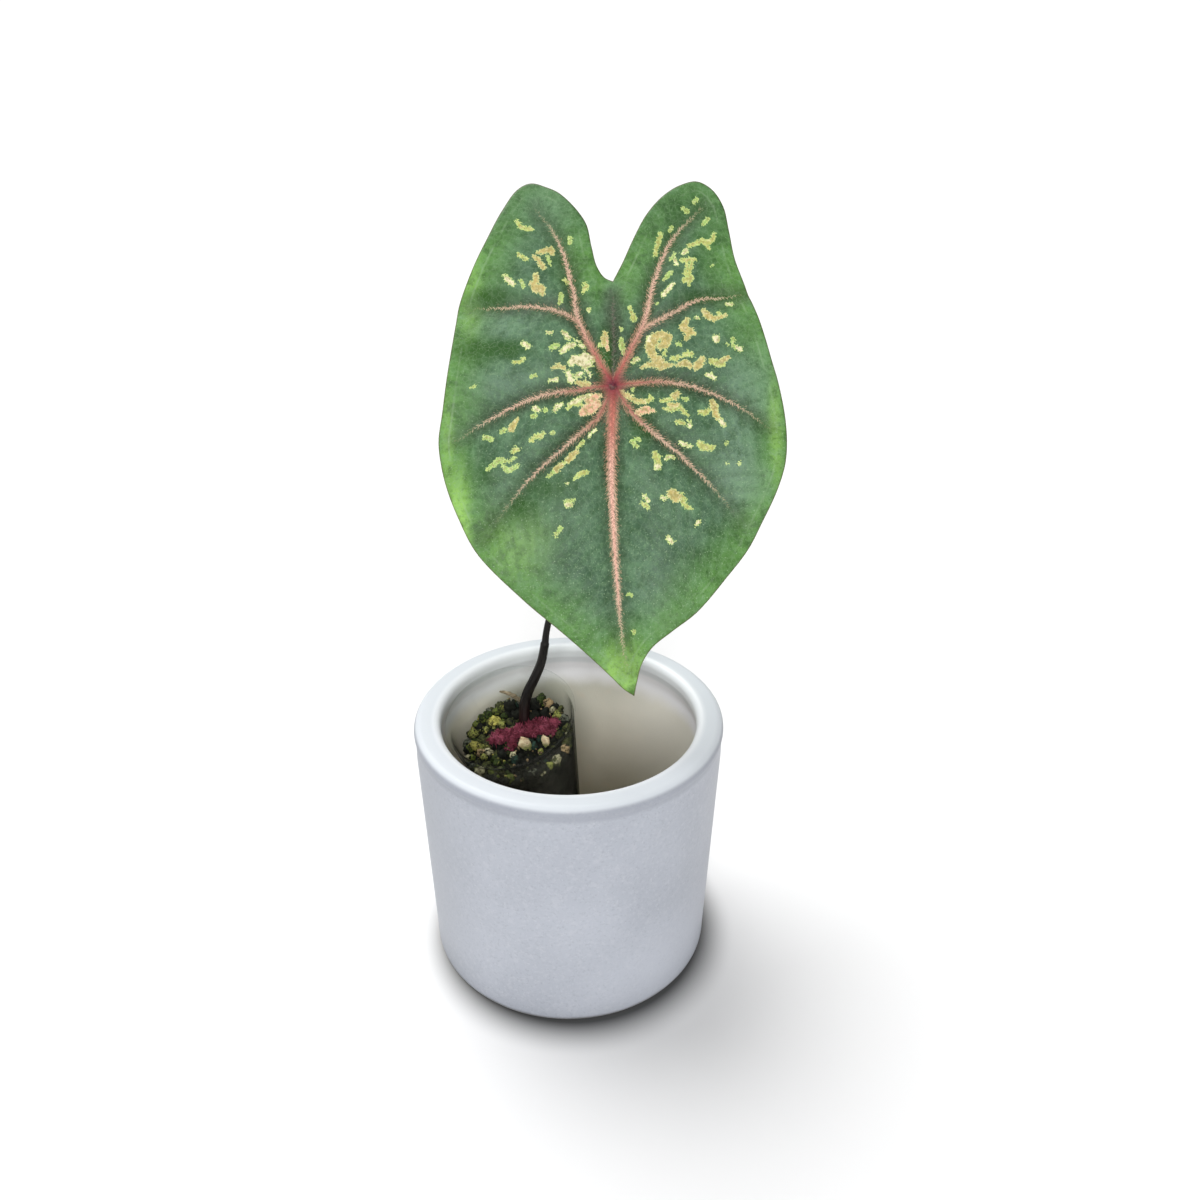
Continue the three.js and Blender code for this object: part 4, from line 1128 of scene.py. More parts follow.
# Flecks as strokes of a brush, by tone. Each stroke's numbers are x, y and half width, over and
# over, in pixels of the picture.
GREENISH, YELLOW, CREAM, OCHRE, PINK = 0.0, 0.3, 0.5, 0.75, 1.0
FLECKS = {
    GREENISH: [
        (569.7, 238, 1.6, 570.2, 243, 1.3), (548, 257, 1.3, 549.6, 265, 1.1),
        (520.8, 281.5, 1, 522.9, 285, 1.4, 523.2, 288, 1), (561, 295, 1.6, 560.3, 303, 1.7),
        (552, 348, 2.4, 557, 345.8, 2.2), (531, 377, 1.1, 535, 375.6, 1.3),
        (470.6, 388, 0.8, 476, 386.5, 0.9), (533, 416.5, 2.2, 535, 415.5, 1.8),
        (545, 410, 1.7, 545.8, 410.6, 1.6), (502, 431.5, 1.7, 504.5, 430, 2),
        (485, 437.5, 2, 491, 439, 2.2), (551.6, 433.2, 0.9, 554, 432.6, 1.1),
        (487.5, 470, 1.2, 494, 465, 2, 498.5, 460.5, 2.7, 502.5, 459, 1.2),
        (498.5, 461.5, 1.7, 508.5, 461.5, 1.3, 515, 457.5, 1.1),
        (503.8, 466, 1.5, 507.5, 471, 1.5, 514, 469, 1.6, 517, 465.5, 1.1),
        (554, 472, 1.6, 548.2, 477.3, 1.4), (565, 501.2, 1, 573.6, 500.4, 1.1),
        (555.3, 535.5, 1.3, 560.8, 528.5, 1.6), (621, 340, 1.7, 622, 346, 2.4, 623.2, 353, 1.5),
        (621, 328.5, 1.1, 621.4, 330, 0.9), (693.6, 203, 1.4, 696.2, 200.3, 1.6),
        (682.5, 209, 1.5, 687, 211.8, 2.2), (703, 224.5, 1.3, 707.8, 219.2, 2),
        (669.6, 231, 1.1, 672, 227.5, 1.6), (674.2, 253.8, 1, 671, 260, 1),
        (712, 265.5, 0.9, 712.4, 266.2, 0.8), (664.2, 279.8, 1.3, 670.2, 273.8, 1.9),
        (656.6, 303.9, 1, 657.4, 304.6, 0.8), (732.8, 339.8, 1.5, 731.8, 344, 1.5, 735, 347.5, 1.4),
        (727, 343.9, 0.9, 727.6, 344.2, 0.8), (676.5, 344.3, 1.4, 680, 344.8, 1.5),
        (632.5, 389.2, 1, 633, 390.5, 0.8), (682.5, 397.8, 1, 686.5, 399.5, 1.7),
        (725.8, 444.3, 1.1, 726.4, 442.6, 0.9), (632, 441, 1.3, 636.5, 439, 1.6, 639.5, 440.5, 1.2),
        (633.5, 443, 1.2, 636.6, 446.2, 1.7), (628, 594.6, 1.3, 630.8, 594.9, 1.4),
        (633.8, 631, 1.1, 634, 633, 1),
    ],
    YELLOW: [
        (517, 221.5, 1.6, 520.5, 227, 2, 526, 228.5, 1.8, 531, 229.5, 1.9),
        (519, 255, 1.9, 527, 259.5, 1.5), (565, 280.3, 1.6, 568, 282.8, 1.7),
        (584, 284, 1.5, 586.5, 286, 2, 583.3, 292, 1.3),
        (513.6, 362.6, 1.1, 519, 362.6, 1.5, 524, 359, 1.3),
        (567.5, 408, 1.3, 574, 404, 1.8, 581, 404.5, 1.5),
        (531.5, 440.3, 2, 535.5, 436.5, 1.5, 539.2, 437, 2.3, 544, 433.3, 1),
        (512.5, 452, 1.7, 515.5, 449.8, 2.1, 519.5, 449.8, 1), (583.5, 441.8, 1.2, 577.8, 448, 1.2),
        (567, 461, 1, 562, 464.5, 1.6),
        (574.3, 478.6, 1.2, 578, 475, 1.4, 582, 473.3, 2.6, 587.3, 471.5, 1.1),
        (599.5, 346.3, 1.3, 601.5, 345, 1.4), (629.7, 307, 0.9, 632, 313, 1.6, 633.6, 318.5, 3),
        (660.6, 233.8, 1.6, 658.2, 242.7, 2.2, 654.6, 255, 1.9),
        (689.2, 246.2, 1.7, 698, 242.5, 2.1),
        (701.8, 240.2, 1.9, 707, 244, 2.6, 712.7, 239.5, 2.2, 714.6, 233, 1),
        (706.5, 244, 2, 708.3, 248, 1.6), (682, 261, 1.9, 688, 260.3, 2.2, 694.3, 260.3, 1.7),
        (686.5, 262, 1.6, 687, 268, 1.3, 685, 275, 1.6),
        (691.8, 262, 1.6, 690.5, 269, 1.6, 688.5, 276, 1.6),
        (684, 280.5, 2.2, 688, 280, 3.4, 691, 278, 2.2, 688.3, 284.5, 1.4),
        (717.5, 313, 0.9, 719.8, 312.8, 0.9), (663.5, 355, 1, 665.5, 351.5, 1.2),
        (683.5, 355, 1.6, 691.5, 354.3, 1.9), (687.5, 351, 0.8, 688, 354, 1.4),
        (671.6, 358.8, 1.4, 676, 359.2, 1.8, 679.8, 356.8, 1.4),
        (711, 361, 2.3, 717.3, 363.5, 3.2, 723, 364.3, 2.2),
        (645, 402, 1.8, 651.3, 398.8, 2.1, 649.5, 396, 1),
        (660.8, 400.8, 1, 666, 400.5, 1.6, 671.5, 399.8, 1.8),
        (664, 408.8, 0.9, 671, 409.8, 1.5, 677, 408, 1.8),
        (679, 407, 1.9, 683.5, 412, 1.5, 688.8, 416.2, 0.9),
        (676.4, 421.7, 1.3, 680.5, 422.8, 2.2, 684.5, 424.4, 1.4),
        (699.6, 412.1, 2, 704, 413, 2.4, 709, 409.8, 1.5),
        (699.5, 443.8, 2.8, 702, 447, 3.4, 707.5, 447.8, 3, 713, 447.5, 2),
        (654.8, 453.6, 2.6, 657.6, 459.4, 2.9, 658.4, 463, 2.6),
        (681.5, 494, 1.6, 684.5, 499.5, 1.5), (682.5, 501.5, 1.8, 686.5, 507, 2, 691.3, 508.6, 0.9),
        (642.3, 503.3, 1.4, 646, 505.5, 2, 648.3, 508.6, 1.3),
    ],
    CREAM: [
        (505, 276.6, 1.8, 508, 280, 2.4, 512.5, 284, 2.5), (588.7, 309, 1.6, 589, 310.5, 1.3),
        (547.3, 333, 1.2, 551.3, 333, 1.2), (563, 332.5, 1.8, 568.5, 338, 2.2),
        (523, 343, 1.9, 528.5, 347.5, 2.2), (562, 352, 1.8, 567, 347.5, 3, 574, 344.5, 2.2),
        (576, 340.5, 1, 579.5, 342, 1.1), (579, 345.2, 1.3, 583.5, 347.5, 1.7),
        (549, 381.2, 1, 557, 379.4, 1.8),
        (571, 364, 2.8, 574.5, 359.5, 4.4, 581, 361.5, 5.6, 585, 357.5, 4.4),
        (584, 357.5, 2.8, 592, 359, 2.8), (584, 366, 3, 590, 364.5, 2.4),
        (568, 373, 2.5, 571, 380.5, 3), (576, 377, 1.6, 581, 373.5, 2),
        (585, 369.7, 1.3, 590, 375, 1.2),
        (569.5, 404.5, 1.6, 576, 401.5, 2.6, 583, 397.5, 1.8, 589, 396, 1.8),
        (554.8, 411, 1.5, 557.5, 406, 2.3, 562, 404.3, 1.6), (535, 408.5, 2.6, 537, 410, 2.4),
        (595.5, 430.2, 1.1, 590, 433.5, 1.2), (589.5, 435.5, 0.9, 588.8, 437.2, 0.9),
        (566.9, 483.8, 0.8, 567.3, 484.2, 0.7), (567.5, 505.2, 2.4, 570, 505, 2.3),
        (633.5, 362, 1.5, 637.5, 359, 1.9), (683.5, 254, 1.7, 686.3, 250.5, 2),
        (674, 258.8, 1.2, 676.2, 264.5, 1.7), (663.7, 295, 2.4, 667.5, 290, 2.2, 672.6, 285.2, 1.6),
        (726.8, 304.6, 1.7, 731.4, 304.2, 1.8), (696.6, 317.8, 1.4, 697.6, 318, 1.2),
        (649.5, 338.5, 2.6, 651, 344, 4), (714.8, 338, 2.3, 717.2, 338, 2.5, 716.3, 340.6, 2.3),
        (735, 347, 1.3, 740, 349.5, 2.4), (706.8, 375.2, 1.3, 710.5, 375.8, 1.8, 714, 378.5, 1.6),
        (689.4, 422.5, 1.4, 689.2, 426.2, 1.6),
        (718, 418.8, 1.6, 721.8, 422, 2.4, 723.8, 425.6, 1.9),
        (680, 442.3, 1, 684, 444.8, 1.6, 689.6, 446.3, 1.2), (727.2, 463.4, 0.8, 727.6, 463.8, 0.7),
        (739, 462.6, 1, 739.3, 464, 0.9), (658.5, 464, 2.4, 656.8, 467.3, 2.8),
        (665.6, 459.5, 1.2, 669.5, 456.8, 1.5, 673.2, 457.6, 1.6),
        (661.8, 497.6, 1.1, 665, 498.6, 1.7), (643.4, 495.3, 1.1, 647.8, 500.4, 1.5),
        (695.8, 525, 1.5, 698.8, 522, 1.5), (668.3, 538.5, 2, 671.8, 542.2, 2),
    ],
    OCHRE: [
        (538, 253, 1.3, 545, 251, 2.8, 551, 250, 3.4, 552.5, 254, 1.8),
        (534, 256.5, 1.4, 539, 261, 2.4, 543, 267.5, 2.4), (536, 276.5, 2.6, 536, 282, 2.6),
        (531.5, 283.5, 2, 536, 288, 4.6, 541, 290, 4.6, 543, 294.5, 1.6),
        (553, 368.5, 1.3, 558.5, 366.2, 1.7, 564, 368.5, 1.8),
        (577.5, 383, 1.9, 583, 384, 2.4, 588.5, 385, 2),
        (511, 429.5, 3, 514, 425, 2.8, 518.3, 418.5, 1),
        (577, 451, 1.8, 572, 456, 2.9, 567, 461, 2.1), (562, 464.8, 2.2, 556, 469.5, 2.8),
        (605.2, 333.5, 1.8, 604, 339, 2.8, 603.5, 344.5, 2.3),
        (704, 311, 2.4, 708, 316, 3.6, 713, 318.5, 2.8, 719, 317.3, 1.8, 726.3, 315, 1.1),
        (687.3, 319, 1.6, 685.3, 324, 2.6, 683.5, 328, 4.2, 686, 331, 3.4),
        (690.5, 331.5, 3.2, 693.5, 333.5, 2), (689, 334, 2.4, 686, 339.3, 1.8),
        (655, 336.5, 4, 661, 334.8, 3.6, 667, 338, 4.6, 665, 344, 4.4, 660.5, 346.3, 3),
        (653, 341, 5, 650, 346.5, 4.8, 651.5, 353, 4, 654.5, 358.5, 3.4),
        (641.3, 367.4, 1, 648, 364.6, 2, 654, 364.5, 3.2, 659.5, 363, 5.2),
        (660, 358, 1.8, 661, 366, 4.4, 667, 365.5, 2.2, 671.8, 364.8, 1),
        (677.5, 365.5, 1.2, 685, 363, 2.9, 690.5, 366, 2.4),
        (696, 367.2, 3.2, 699, 364, 4, 702, 360, 3),
        (720, 362.5, 2.2, 725, 359.5, 2.1, 728.3, 357.5, 1.4),
        (620, 391, 0.9, 628, 396.3, 2.5, 632, 399, 1.8, 637, 401, 2, 645, 402, 2),
        (673, 396.5, 2.6, 677.5, 393, 2.2, 675, 398.5, 2),
        (668.5, 404.5, 1.8, 674, 406.5, 2.6, 678.5, 405, 1.8),
        (711.5, 402, 2.4, 714, 406, 3.4, 715, 413, 3, 718, 418.5, 1.9),
        (672, 493.5, 4.4, 676, 497, 5.2, 679.5, 496, 3),
    ],
    PINK: [
        (581.5, 414, 2.2, 585, 411, 4.4, 592, 407.5, 5.6, 598, 403.5, 3.2),
        (588, 401, 3.2, 596, 397, 3.4, 600, 396, 1.4), (606.8, 338, 1.1, 607, 350, 1.4),
        (636.5, 412.8, 1.7, 641, 411.5, 3, 646, 409.5, 3.4, 654.5, 411.5, 1.2),
    ],
}

# Soft patches of painted shade, painted light and painted sheen on the ground's colour, by kind: x,
# y, half width and half height in pixels, and how much of the colour each has at its middle.
PAINTED_SHADE, PAINTED_LIGHT, PAINTED_SHEEN = 0, 1, 2
PATCH_FALL = -0.6, 1.4  # factor and power in the exponent of a patch's fading
PATCH_STRETCH = 1.25  # the leaf leans away, so a pixel spans more of its height than of its width
PATCHES = {
    PAINTED_SHADE: [
        (492, 297, 24, 6, 1), (480, 350, 26, 10, 0.9), (508, 350, 18, 8, 0.9),
        (548, 490, 22, 9, 0.6), (524, 512, 16, 14, 0.7), (604, 356, 7, 20, 1),
        (641, 430, 10, 12, 0.6), (634, 695, 4, 6, 0.9), (676, 245, 7, 26, 0.4),
        (700, 298, 24, 5, 0.6), (485, 474, 16, 7, 0.5), (642, 410, 16, 14, 0.35),
    ],
    PAINTED_LIGHT: [
        (458, 520, 10, 34, 1), (448, 460, 6, 40, 0.5), (520, 540, 26, 22, 0.4),
        (622, 672, 18, 20, 1), (775, 430, 6, 34, 0.55), (470, 290, 10, 34, 0.45),
    ],
    PAINTED_SHEEN: [
        (611, 312, 8, 20, 0.8), (752, 386, 22, 26, 0.7), (738, 484, 26, 18, 0.6),
        (505, 328, 26, 10, 0.6), (500, 380, 30, 12, 0.45), (640, 585, 34, 28, 0.2),
        (737, 440, 18, 40, 0.7), (545, 210, 22, 20, 0.4),
    ],
}


def fleck_values(points):
    """How deep each point lies inside its nearest fleck, in mm, and that fleck's tone."""
    depth = np.full(len(points), -FAR)
    tone = np.zeros(len(points))
    for stroke_tone, line, half in strokes:
        near = near_line(points, line, 6)
        distance, where, _ = nearest_on(line, points[near])
        own = np.interp(where, along(line), half) - distance
        better = own > depth[near]
        depth[near] = np.where(better, own, depth[near])
        tone[near] = np.where(better, stroke_tone, tone[near])
    return depth, tone


def pixel_size():
    """Millimetres that a pixel of the picture spans at the leaf's junction."""
    return (LEAF_PLACE - CAMERA_PLACE) @ CAMERA_AHEAD / FOCAL_PIXELS


def strokes_on_leaf():
    """Each fleck's tone, its line in the leaf's plane and its half widths."""
    lines = []
    for tone, strokes_of_tone in FLECKS.items():
        for stroke in strokes_of_tone:
            stroke = np.reshape(stroke, (-1, 3))
            lines.append((tone, pixels_on_leaf(stroke[:, :2]), stroke[:, 2] * pixel_size()))
    return lines


strokes = strokes_on_leaf()


def patch_values(points):
    """Shares of the painted shade, painted light and painted sheen patches at each point."""
    shares = np.zeros((3, len(points)))
    for kind, patches in PATCHES.items():
        for x, y, half_width, half_height, strength in patches:
            centre = pixels_on_leaf(np.array([[x, y]], float))[0]
            half = np.array([half_width, half_height * PATCH_STRETCH]) * pixel_size()
            away = (((points - centre) / half) ** 2).sum(1)
            own = strength * np.exp(PATCH_FALL[0] * away ** PATCH_FALL[1])
            shares[kind] = np.maximum(shares[kind], own)
    return shares


# ---------------------------------------------------------------- leaf: the blade

HALF_THICKNESS = 0.32
RIB_END = 0.35  # radius of each rib at its far end
EDGE_HALF_THICKNESS = 0.14
FINE, PLAIN, UNDER_FINE, UNDER_PLAIN = 0.5, 0.85, 0.55, 1.4  # spacing of the blade's points
BOSS_SIZE = np.array([3.2, 3.6, 0.9])  # half sizes of the swelling where the petiole joins
BOSS_DROP = 0.8
# The blade's points lie close together up to the first distance, and further apart from the second.
AT_VEIN, OFF_VEIN = 2.6, 3.0
AT_FLECK, OFF_FLECK = 0.9, 1.3
AT_RIB = 2.4
# Relief that the solid leaves out, as height and width.
MIDRIB_CORD, VEIN_CORD, SIDE_RIB = (0.22, 0.9), (0.14, 0.6), (0.22, 0.5)
PAD_RISE, PAD_SPAN = 0.2, 1.7
ROUGH, BROAD = (0.22, 6), (0.6, 19)


def hexagon_points(spacing):
    """A triangular lattice over the leaf."""
    low, high = margin.min(0), margin.max(0)
    rows = np.arange(low[1], high[1], spacing * math.sqrt(3) / 2)
    points = []
    for number, y in enumerate(rows):
        x = np.arange(low[0] + (number % 2) * spacing / 2, high[0], spacing)
        points.append(np.stack([x, np.full(len(x), y)], 1))
    return np.vstack(points)


def inside_leaf(points, clear):
    """Points within the margin and clear of it."""
    share = edge_share(points)
    points = points[share < 0.9999]
    return points[to_the_margin(points) > clear]


def triangulated(points):
    """The margin's points followed by others, as triangles inside the margin."""
    count = len(margin)
    edges = [(i, (i + 1) % count) for i in range(count)]
    inputs = [Vector(p) for p in np.vstack([margin, points])]
    vertices, _, faces, origins, _, _ = delaunay_2d_cdt(inputs, edges, [], 1, 1e-5)
    places = np.array([tuple(v) for v in vertices])
    on_margin = np.zeros(count, int)
    for number, sources in enumerate(origins):
        for source in sources:
            if source < count:
                on_margin[source] = number
    return places, [list(f) for f in faces], on_margin


def painted_half_width(vein, where):
    start, middle, late = vein["paint"]
    reach = vein["reach"]
    stations = [0, reach * 0.5, reach * 0.75, reach, reach + 5]
    return np.interp(where, stations, [start, middle, late, -0.15, -2])


def vein_values(points):
    """Distances to the main veins, and what paints them."""
    distances = []
    values = {name: np.zeros(len(points)) for name in ("paint", "run", "across", "fade")}
    values["paint"] -= 999
    for number, vein in enumerate(VEINS):
        distance, where, side = nearest_on(vein["line"], points)
        distances.append(distance)
        share = where / vein["reach"] if number != NOTCH_VEIN else np.ones(len(points))
        if number in BRANCH_VEINS:
            share = 0.3 + 0.7 * share
        own = {"paint": painted_half_width(vein, where) - distance, "run": where + 200 * number}
        own.update(across=distance * side, fade=share)
        better = own["paint"] > values["paint"]
        for name in values:
            values[name] = np.where(better, own[name], values[name])
    return distances, values


def side_distance(points, lines):
    distance = np.full(len(points), FAR)
    for line in lines:
        near = near_line(points, line, 3)
        if len(near):
            distance[near] = np.minimum(distance[near], nearest_on(line, points[near])[0])
    return distance


def upper_points():
    """Points of the upper face: close together at the veins and flecks."""
    lattice = inside_leaf(hexagon_points(FINE), 0.45)
    detailed = (nearest_vein(lattice) < AT_VEIN) | (fleck_values(lattice)[0] > -AT_FLECK)
    plain = inside_leaf(hexagon_points(PLAIN), 0.6)
    rest = (nearest_vein(plain) > OFF_VEIN) & (fleck_values(plain)[0] < -OFF_FLECK)
    return np.vstack([lattice[detailed], plain[rest]])


def under_points():
    """Points of the underside: close together at the ribs."""
    lattice = inside_leaf(hexagon_points(UNDER_FINE), 0.45)
    plain = inside_leaf(hexagon_points(UNDER_PLAIN), 0.9)
    ribs = lattice[nearest_vein(lattice) < AT_RIB]
    return np.vstack([ribs, plain[nearest_vein(plain) > OFF_VEIN]])


def nearest_vein(points):
    return np.min(vein_distances(points), axis=0)


def rib_height(places, distances, sides):
    """How far the ribs stand out of the underside."""
    rib = ridge(sides, *SIDE_RIB)
    for vein, distance in zip(VEINS, distances):
        where = nearest_on(vein["line"], places)[1]
        radius = vein["rib"] + (RIB_END - vein["rib"]) * where / along(vein["line"])[-1]
        rib = np.maximum(rib, radius * np.exp(-((distance / (radius * 1.05)) ** 4)))
    return rib


def blade_shape():
    """The blade: a fine upper face, an underside with raised ribs, and the rim between."""
    upper, upper_faces, upper_margin = triangulated(upper_points())
    under, under_faces, under_margin = triangulated(under_points())
    count = len(upper)
    places = np.vstack([upper, under])
    below = np.repeat([0.0, 1.0], [count, len(under)])
    distances, values = vein_values(places)
    edge = edge_share(places)
    to_margin = to_the_margin(places)
    sides = side_distance(places, side_veins())
    rib = rib_height(places, distances, sides)

    height = blade_height(places, edge, distances) + relief(places, distances, sides, to_margin)
    half = HALF_THICKNESS + (EDGE_HALF_THICKNESS - HALF_THICKNESS) * np.exp(-to_margin / 1.2)
    height += np.where(below > 0, -half - rib * np.minimum(1, to_margin / 3), half)

    depth, tone = fleck_values(places)
    # Shares of painted shade, painted light and painted sheen.
    deep, bright, grey = patch_values(places)
    values.update(
        below=below, rib=rib, margin=to_margin, side=sides, fleck=depth, tone=tone,
        deep=deep, bright=bright, grey=grey, vein_near=np.min(distances, axis=0),
        junction=np.hypot(*places.T), upright=places[:, 1],
    )
    faces = upper_faces + [[i + count for i in reversed(face)] for face in under_faces]
    rim = list(zip(upper_margin, under_margin + count))
    faces += [[a, b, c, d] for (a, d), (b, c) in zip(rim, rim[1:] + rim[:1])]
    return (from_leaf(places, height), faces), values


def ridge(distance, height, width):
    return height * bell(distance, width)


def unevenness(places, size, level):
    return np.array([noise.noise(Vector((p[0] / size, p[1] / size, level))) for p in places])


def relief(places, distances, sides, to_margin):
    """What the solid leaves out: fine veins, pads between them and a little unevenness."""
    cord = ridge(distances[0], *MIDRIB_CORD)
    for distance in distances[1:NOTCH_VEIN]:
        cord = np.maximum(cord, ridge(distance, *VEIN_CORD))
    calm = np.minimum(1, to_margin / 5)
    height = cord + PAD_RISE * (1 - bell(sides, PAD_SPAN)) * calm
    for level, (rise, size) in ((0, ROUGH), (7, BROAD)):
        height = height + rise * unevenness(places, size, level) * calm
    return height


def stub_shape():
    """The end of the petiole that is one with the blade, and the swelling where they join."""
    line = petiole_line(STEM_STEPS)
    length = along(line)
    centres = line[length > length[-1] - STUB]
    share = np.linspace(0, 1, len(centres))
    stalk = tube(centres, STEM_TOP + 0.5 * share, 28)
    boss_points, boss_faces = round_stone(4)
    origin = np.zeros((1, 2))
    level = blade_height(origin, np.zeros(1), [np.zeros(1)] * len(VEINS))[0] - HALF_THICKNESS
    boss = boss_points * BOSS_SIZE
    return joined([stalk, (from_leaf(boss[:, :2], boss[:, 2] + level - BOSS_DROP), boss_faces)])


NOTCH_COLOUR = (112, 98, 92)  # of the short vein into the notch


def leaf_ground(look, cloud, fine, net):
    """Green: brighter towards the margin and mottled all over, with painted shade along the veins,
    the side veins and the folds, and patches of painted light and painted sheen.
    """
    from_margin, upright, junction = (look.value(n) for n in ("margin", "upright", "junction"))
    middling = look.noise(7, 5, rough=0.65)
    inner = look.mix(cloud.rise(0.35, 0.68), (62, 91, 67), (80, 110, 83))
    outer = look.mix(cloud.rise(0.35, 0.68), (78, 120, 58), (92, 138, 68))
    inward = from_margin + (cloud - 0.5) * 16.0
    near_vein = look.value("vein_near") + (fine - 0.5) * 3.0
    side = (look.value("side") + fine * 1.2).rise(2.4, 0.7)
    collecting = abs(from_margin - 4.2).rise(0.7, 0.1) * cloud.rise(0.4, 0.7)
    dust = look.noise(0.62, 2).rise(0.62, 0.74) * upright.rise(40.0, -90.0, 0.25, 0.6)
    return look.layers(
        look.mix(inward.rise(3.0, 22.0), outer, inner),
        (upright.rise(50.0, 74.0) * 0.5, (64, 98, 62)),
        # Painted sheen in patches.
        (look.value("grey") * 0.8, (116, 144, 122)),
        # Painted light in patches.
        (look.value("bright"), (142, 188, 92)),
        (middling.rise(0.48, 0.68) * 0.35, (104, 142, 102)),
        (middling.rise(0.5, 0.32) * 0.5, (40, 70, 36)),
        (fine.rise(0.5, 0.7) * 0.3, (116, 150, 108)),
        (fine.rise(0.5, 0.3) * 0.35, (44, 74, 40)),
        # Painted shade: dark halos in the grooves along the veins, strongest near the junction.
        (near_vein.rise(7.0, 0.8) * junction.rise(80.0, 10.0, 0.35, 0.9), (40, 50, 30)),
        # Painted shade in the folds and creases.
        (look.value("deep") * middling.rise(0.35, 0.75, 1.0, 0.6), (36, 76, 14)),
        # Painted shade in the creases along the side veins.
        (side * 0.2, (44, 80, 36)),
        (collecting * 0.3, (150, 176, 140)),
        (net * 0.1, (150, 178, 140)),
        (dust, (158, 184, 146)),
    )


def leaf_flecks(look, ground):
    """Jagged flecks, bright at the rim, and fine specks in the dark middle of the leaf."""
    jag = look.noise(1.15, 3, rough=0.65) - 0.5
    nick = look.cells(0.65) - 0.45
    inward = look.value("fleck") + (jag * 2.2 + nick * 1.3)
    tone = look.value("tone")
    heart = look.layers(
        look.mix(tone.rise(0.0, 0.3), (144, 178, 94), (178, 184, 102)),
        (tone.rise(0.3, 0.5), (222, 214, 176)),
        (tone.rise(0.55, 0.75), (184, 166, 102)),
        (tone.rise(0.8, 1.0), (216, 164, 136)),
        (look.noise(0.9, 3).rise(0.45, 0.65) * 0.45, (228, 222, 180)),
        (look.noise(1.5, 4, rough=0.7).rise(0.44, 0.6) * 0.75, (142, 136, 80)),
    )
    rim = look.mix(tone.rise(0.5, 1.0), (188, 210, 128), (214, 206, 148))
    fleck = look.mix(inward.rise(-0.1, 0.5), rim, heart)
    specks = look.noise(0.75, 2).rise(0.66, 0.72) * look.value("junction").rise(26.0, 8.0)
    return look.layers(ground, (inward.rise(-0.3, 0.0), fleck), (specks * 0.6, (150, 160, 100)))


def leaf_veins(look, colour):
    """Bands with combed edges: maroon at the junction, then salmon, and tan at their ends."""
    across, paint, fade = (look.value(name) for name in ("across", "paint", "fade"))
    outwards = look.value("run") - abs(across) * 0.9
    strands = {"X": outwards * 2.7, "Y": across * 0.8}
    comb = look.noise(1000.0, 2, look.output(0, "ShaderNodeCombineXYZ", strands)) - 0.5
    fringe = look.layers(
        look.mix(fade.rise(0.0, 0.12), (122, 72, 62), (172, 130, 104)),
        (fade.rise(0.15, 0.45), (186, 156, 126)),
        (fade.rise(0.6, 0.95), (152, 148, 114)),
    )
    broad = look.layers(
        look.mix(fade.rise(0.0, 0.12), (142, 66, 62), (198, 122, 104)),
        (fade.rise(0.12, 0.3), (236, 186, 164)),
    )
    core = look.layers(
        look.mix(fade.rise(0.0, 0.14), (130, 66, 62), (168, 116, 98)),
        (fade.rise(0.14, 0.42), (204, 172, 148)),
        (fade.rise(0.6, 1.0), (174, 166, 134)),
        (paint.rise(0.7, 1.3), broad),
        (comb.rise(0.08, -0.08) * 0.6, (104, 68, 54)),
    )
    notch = fade.rise(0.985, 1.0)
    opaque = fade.rise(1.02, 0.9, 0.45, 1.0)
    hair = paint + fade.rise(0.0, 0.7, 0.75, 0.0) + comb * 8.5
    solid = paint - 0.35 + comb * 3.6
    spot = look.value("junction") + comb * 3.0
    thread = abs(across).rise(0.5, 0.1) * fade.rise(0.5, 0.05)
    return look.layers(
        colour,
        (hair.rise(0.1, 0.6) * (opaque * 0.8), look.mix(notch, fringe, NOTCH_COLOUR)),
        (solid.rise(-0.15, 0.3) * opaque, look.mix(notch, core, NOTCH_COLOUR)),
        (spot.rise(7.0, 1.5) * 0.8, (134, 58, 62)),
        (spot.rise(3.0, 0.6), (84, 34, 46)),
        (thread * 0.3, (140, 50, 56)),
    )


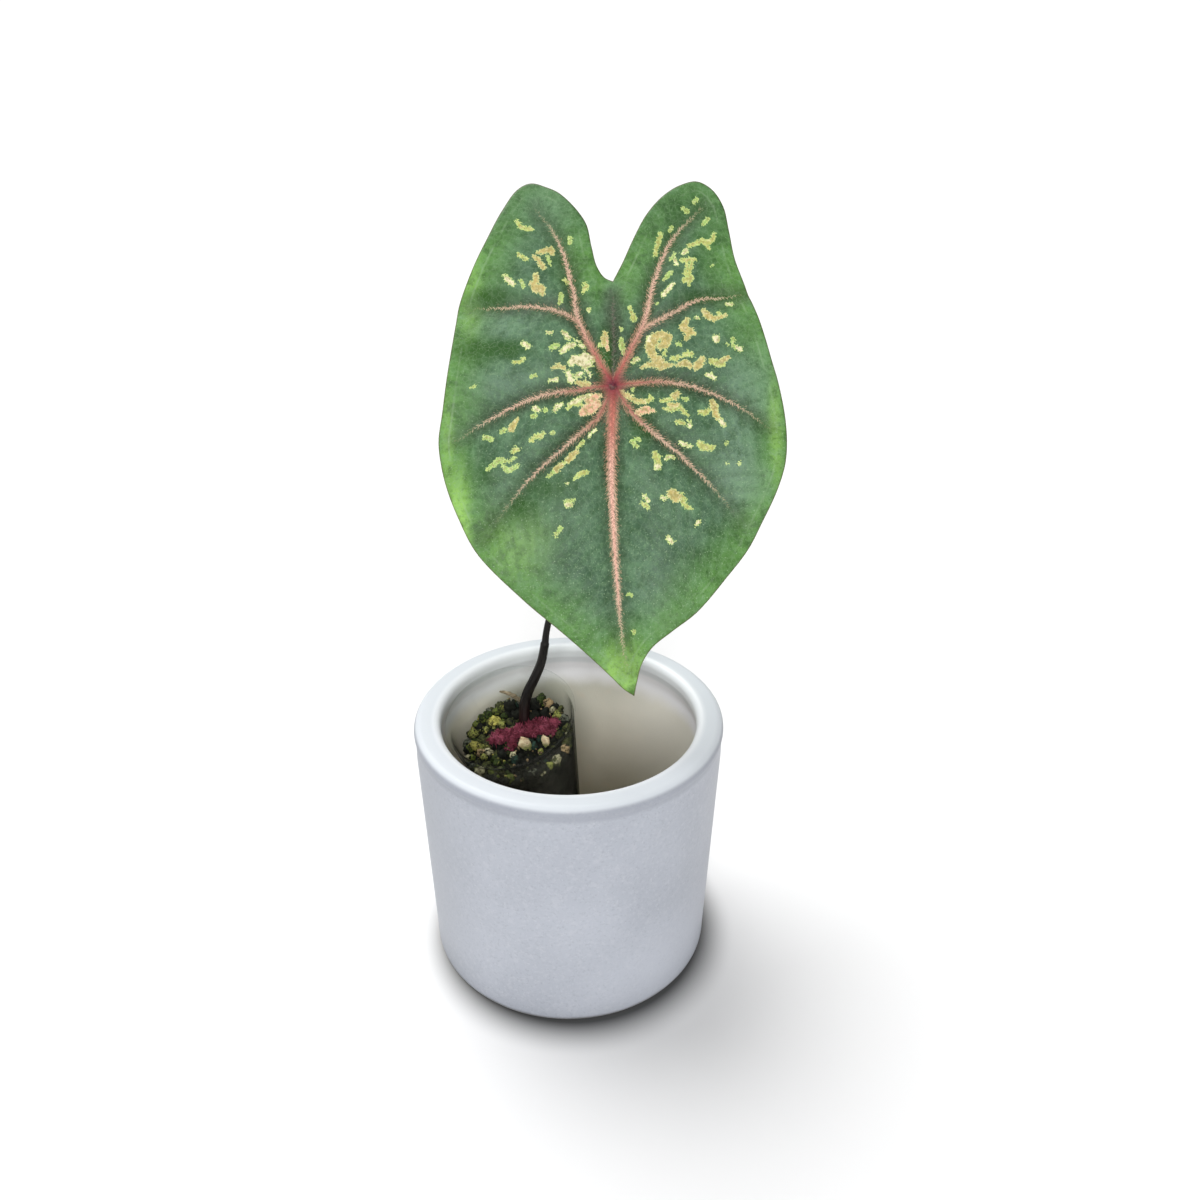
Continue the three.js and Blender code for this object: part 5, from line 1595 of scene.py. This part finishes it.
def leaf_look():
    """Mottled green between salmon veins, with flecks of cream and ochre, and pale below."""
    look = Look("leaf", roughness=0.5, specular=0.2)
    cloud = look.noise(13, 4)
    fine = look.noise(1.6, 4, rough=0.6)
    net = look.cells(2.4, "DISTANCE_TO_EDGE").rise(0.1, 0.0)
    rib = look.value("rib")
    edge = look.value("margin") + (fine - 0.5) * 0.4
    pale = look.layers(
        look.mix(cloud.rise(0.3, 0.7), (118, 150, 108), (136, 166, 122)),
        (rib.rise(0.1, 0.35), (160, 168, 128)),
        (rib.rise(0.4, 0.9), (176, 118, 104)),
    )
    colour = look.layers(
        leaf_veins(look, leaf_flecks(look, leaf_ground(look, cloud, fine, net))),
        (edge.rise(0.6, 0.1) * 0.6, (86, 70, 48)),
        (look.value("below"), pale),
    )
    look.set("Roughness", fine.rise(0.3, 0.7, 0.4, 0.54))
    skin = look.noise(0.7, 3) + look.cells(1.1) * 0.6 - net * 0.6
    return look.finished(colour, skin, 0.1, 0.7)


def stub_look():
    look = Look("stub", roughness=0.45, specular=0.4)
    streaks = look.noise(1.0, 4, look.stretched(1.0, 1.0, 0.2))
    colour = look.mix(streaks.rise(0.35, 0.7), (78, 42, 44), (132, 84, 76))
    return look.finished(colour, streaks, 0.12)


def tuber_look():
    look = Look("tuber_skin", roughness=0.85, specular=0.25)
    skin = look.noise(3, 5)
    return look.finished(look.mix(skin.rise(0.35, 0.7), (74, 48, 34), (116, 84, 58)), skin, 0.5)


# ---------------------------------------------------------------- assembly

make_camera()
make_studio()

make("cover_pot", turned(pot_outline(), POT_SEGMENTS), [pot_look()], "pot")
make("clear_cup", cup_shape(), [cup_look()], "nursery_cup")
make("mix_body", mix_shape(), [mix_look()], "potting_mix")

stem = ((np.array(ROUTE[0]) - cup_place) @ cup_turn)[:2]
shape, colours = granules_shape(stem)
channels = dict(zip(("red", "green", "blue"), colours.T))
make("topping", shape, [granules_look()], "granule_topping", channels)
shape, painted_highlight = moss_shape(stem)
make("moss", shape, [moss_look()], "maroon_moss", {"painted_highlight": painted_highlight})
chip = chip_look()
for name, sizes in CHIPS.items():
    shape, height = chip_shape(**sizes)
    make(name.replace("cream_", "pale_"), shape, [chip], name, {"height": height})
make("splinter", bark_shape(), [bark_look()], "bark_strip")
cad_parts["tuber"].data.materials.clear()
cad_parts["tuber"].data.materials.append(tuber_look())

shape, height = petiole_shape()
make("stalk", shape, [petiole_look()], "petiole", {"height": height})

shape, values = blade_shape()
make("blade", shape, [leaf_look()], "leaf_blade", values)
make("stalk_end", stub_shape(), [stub_look()], None)
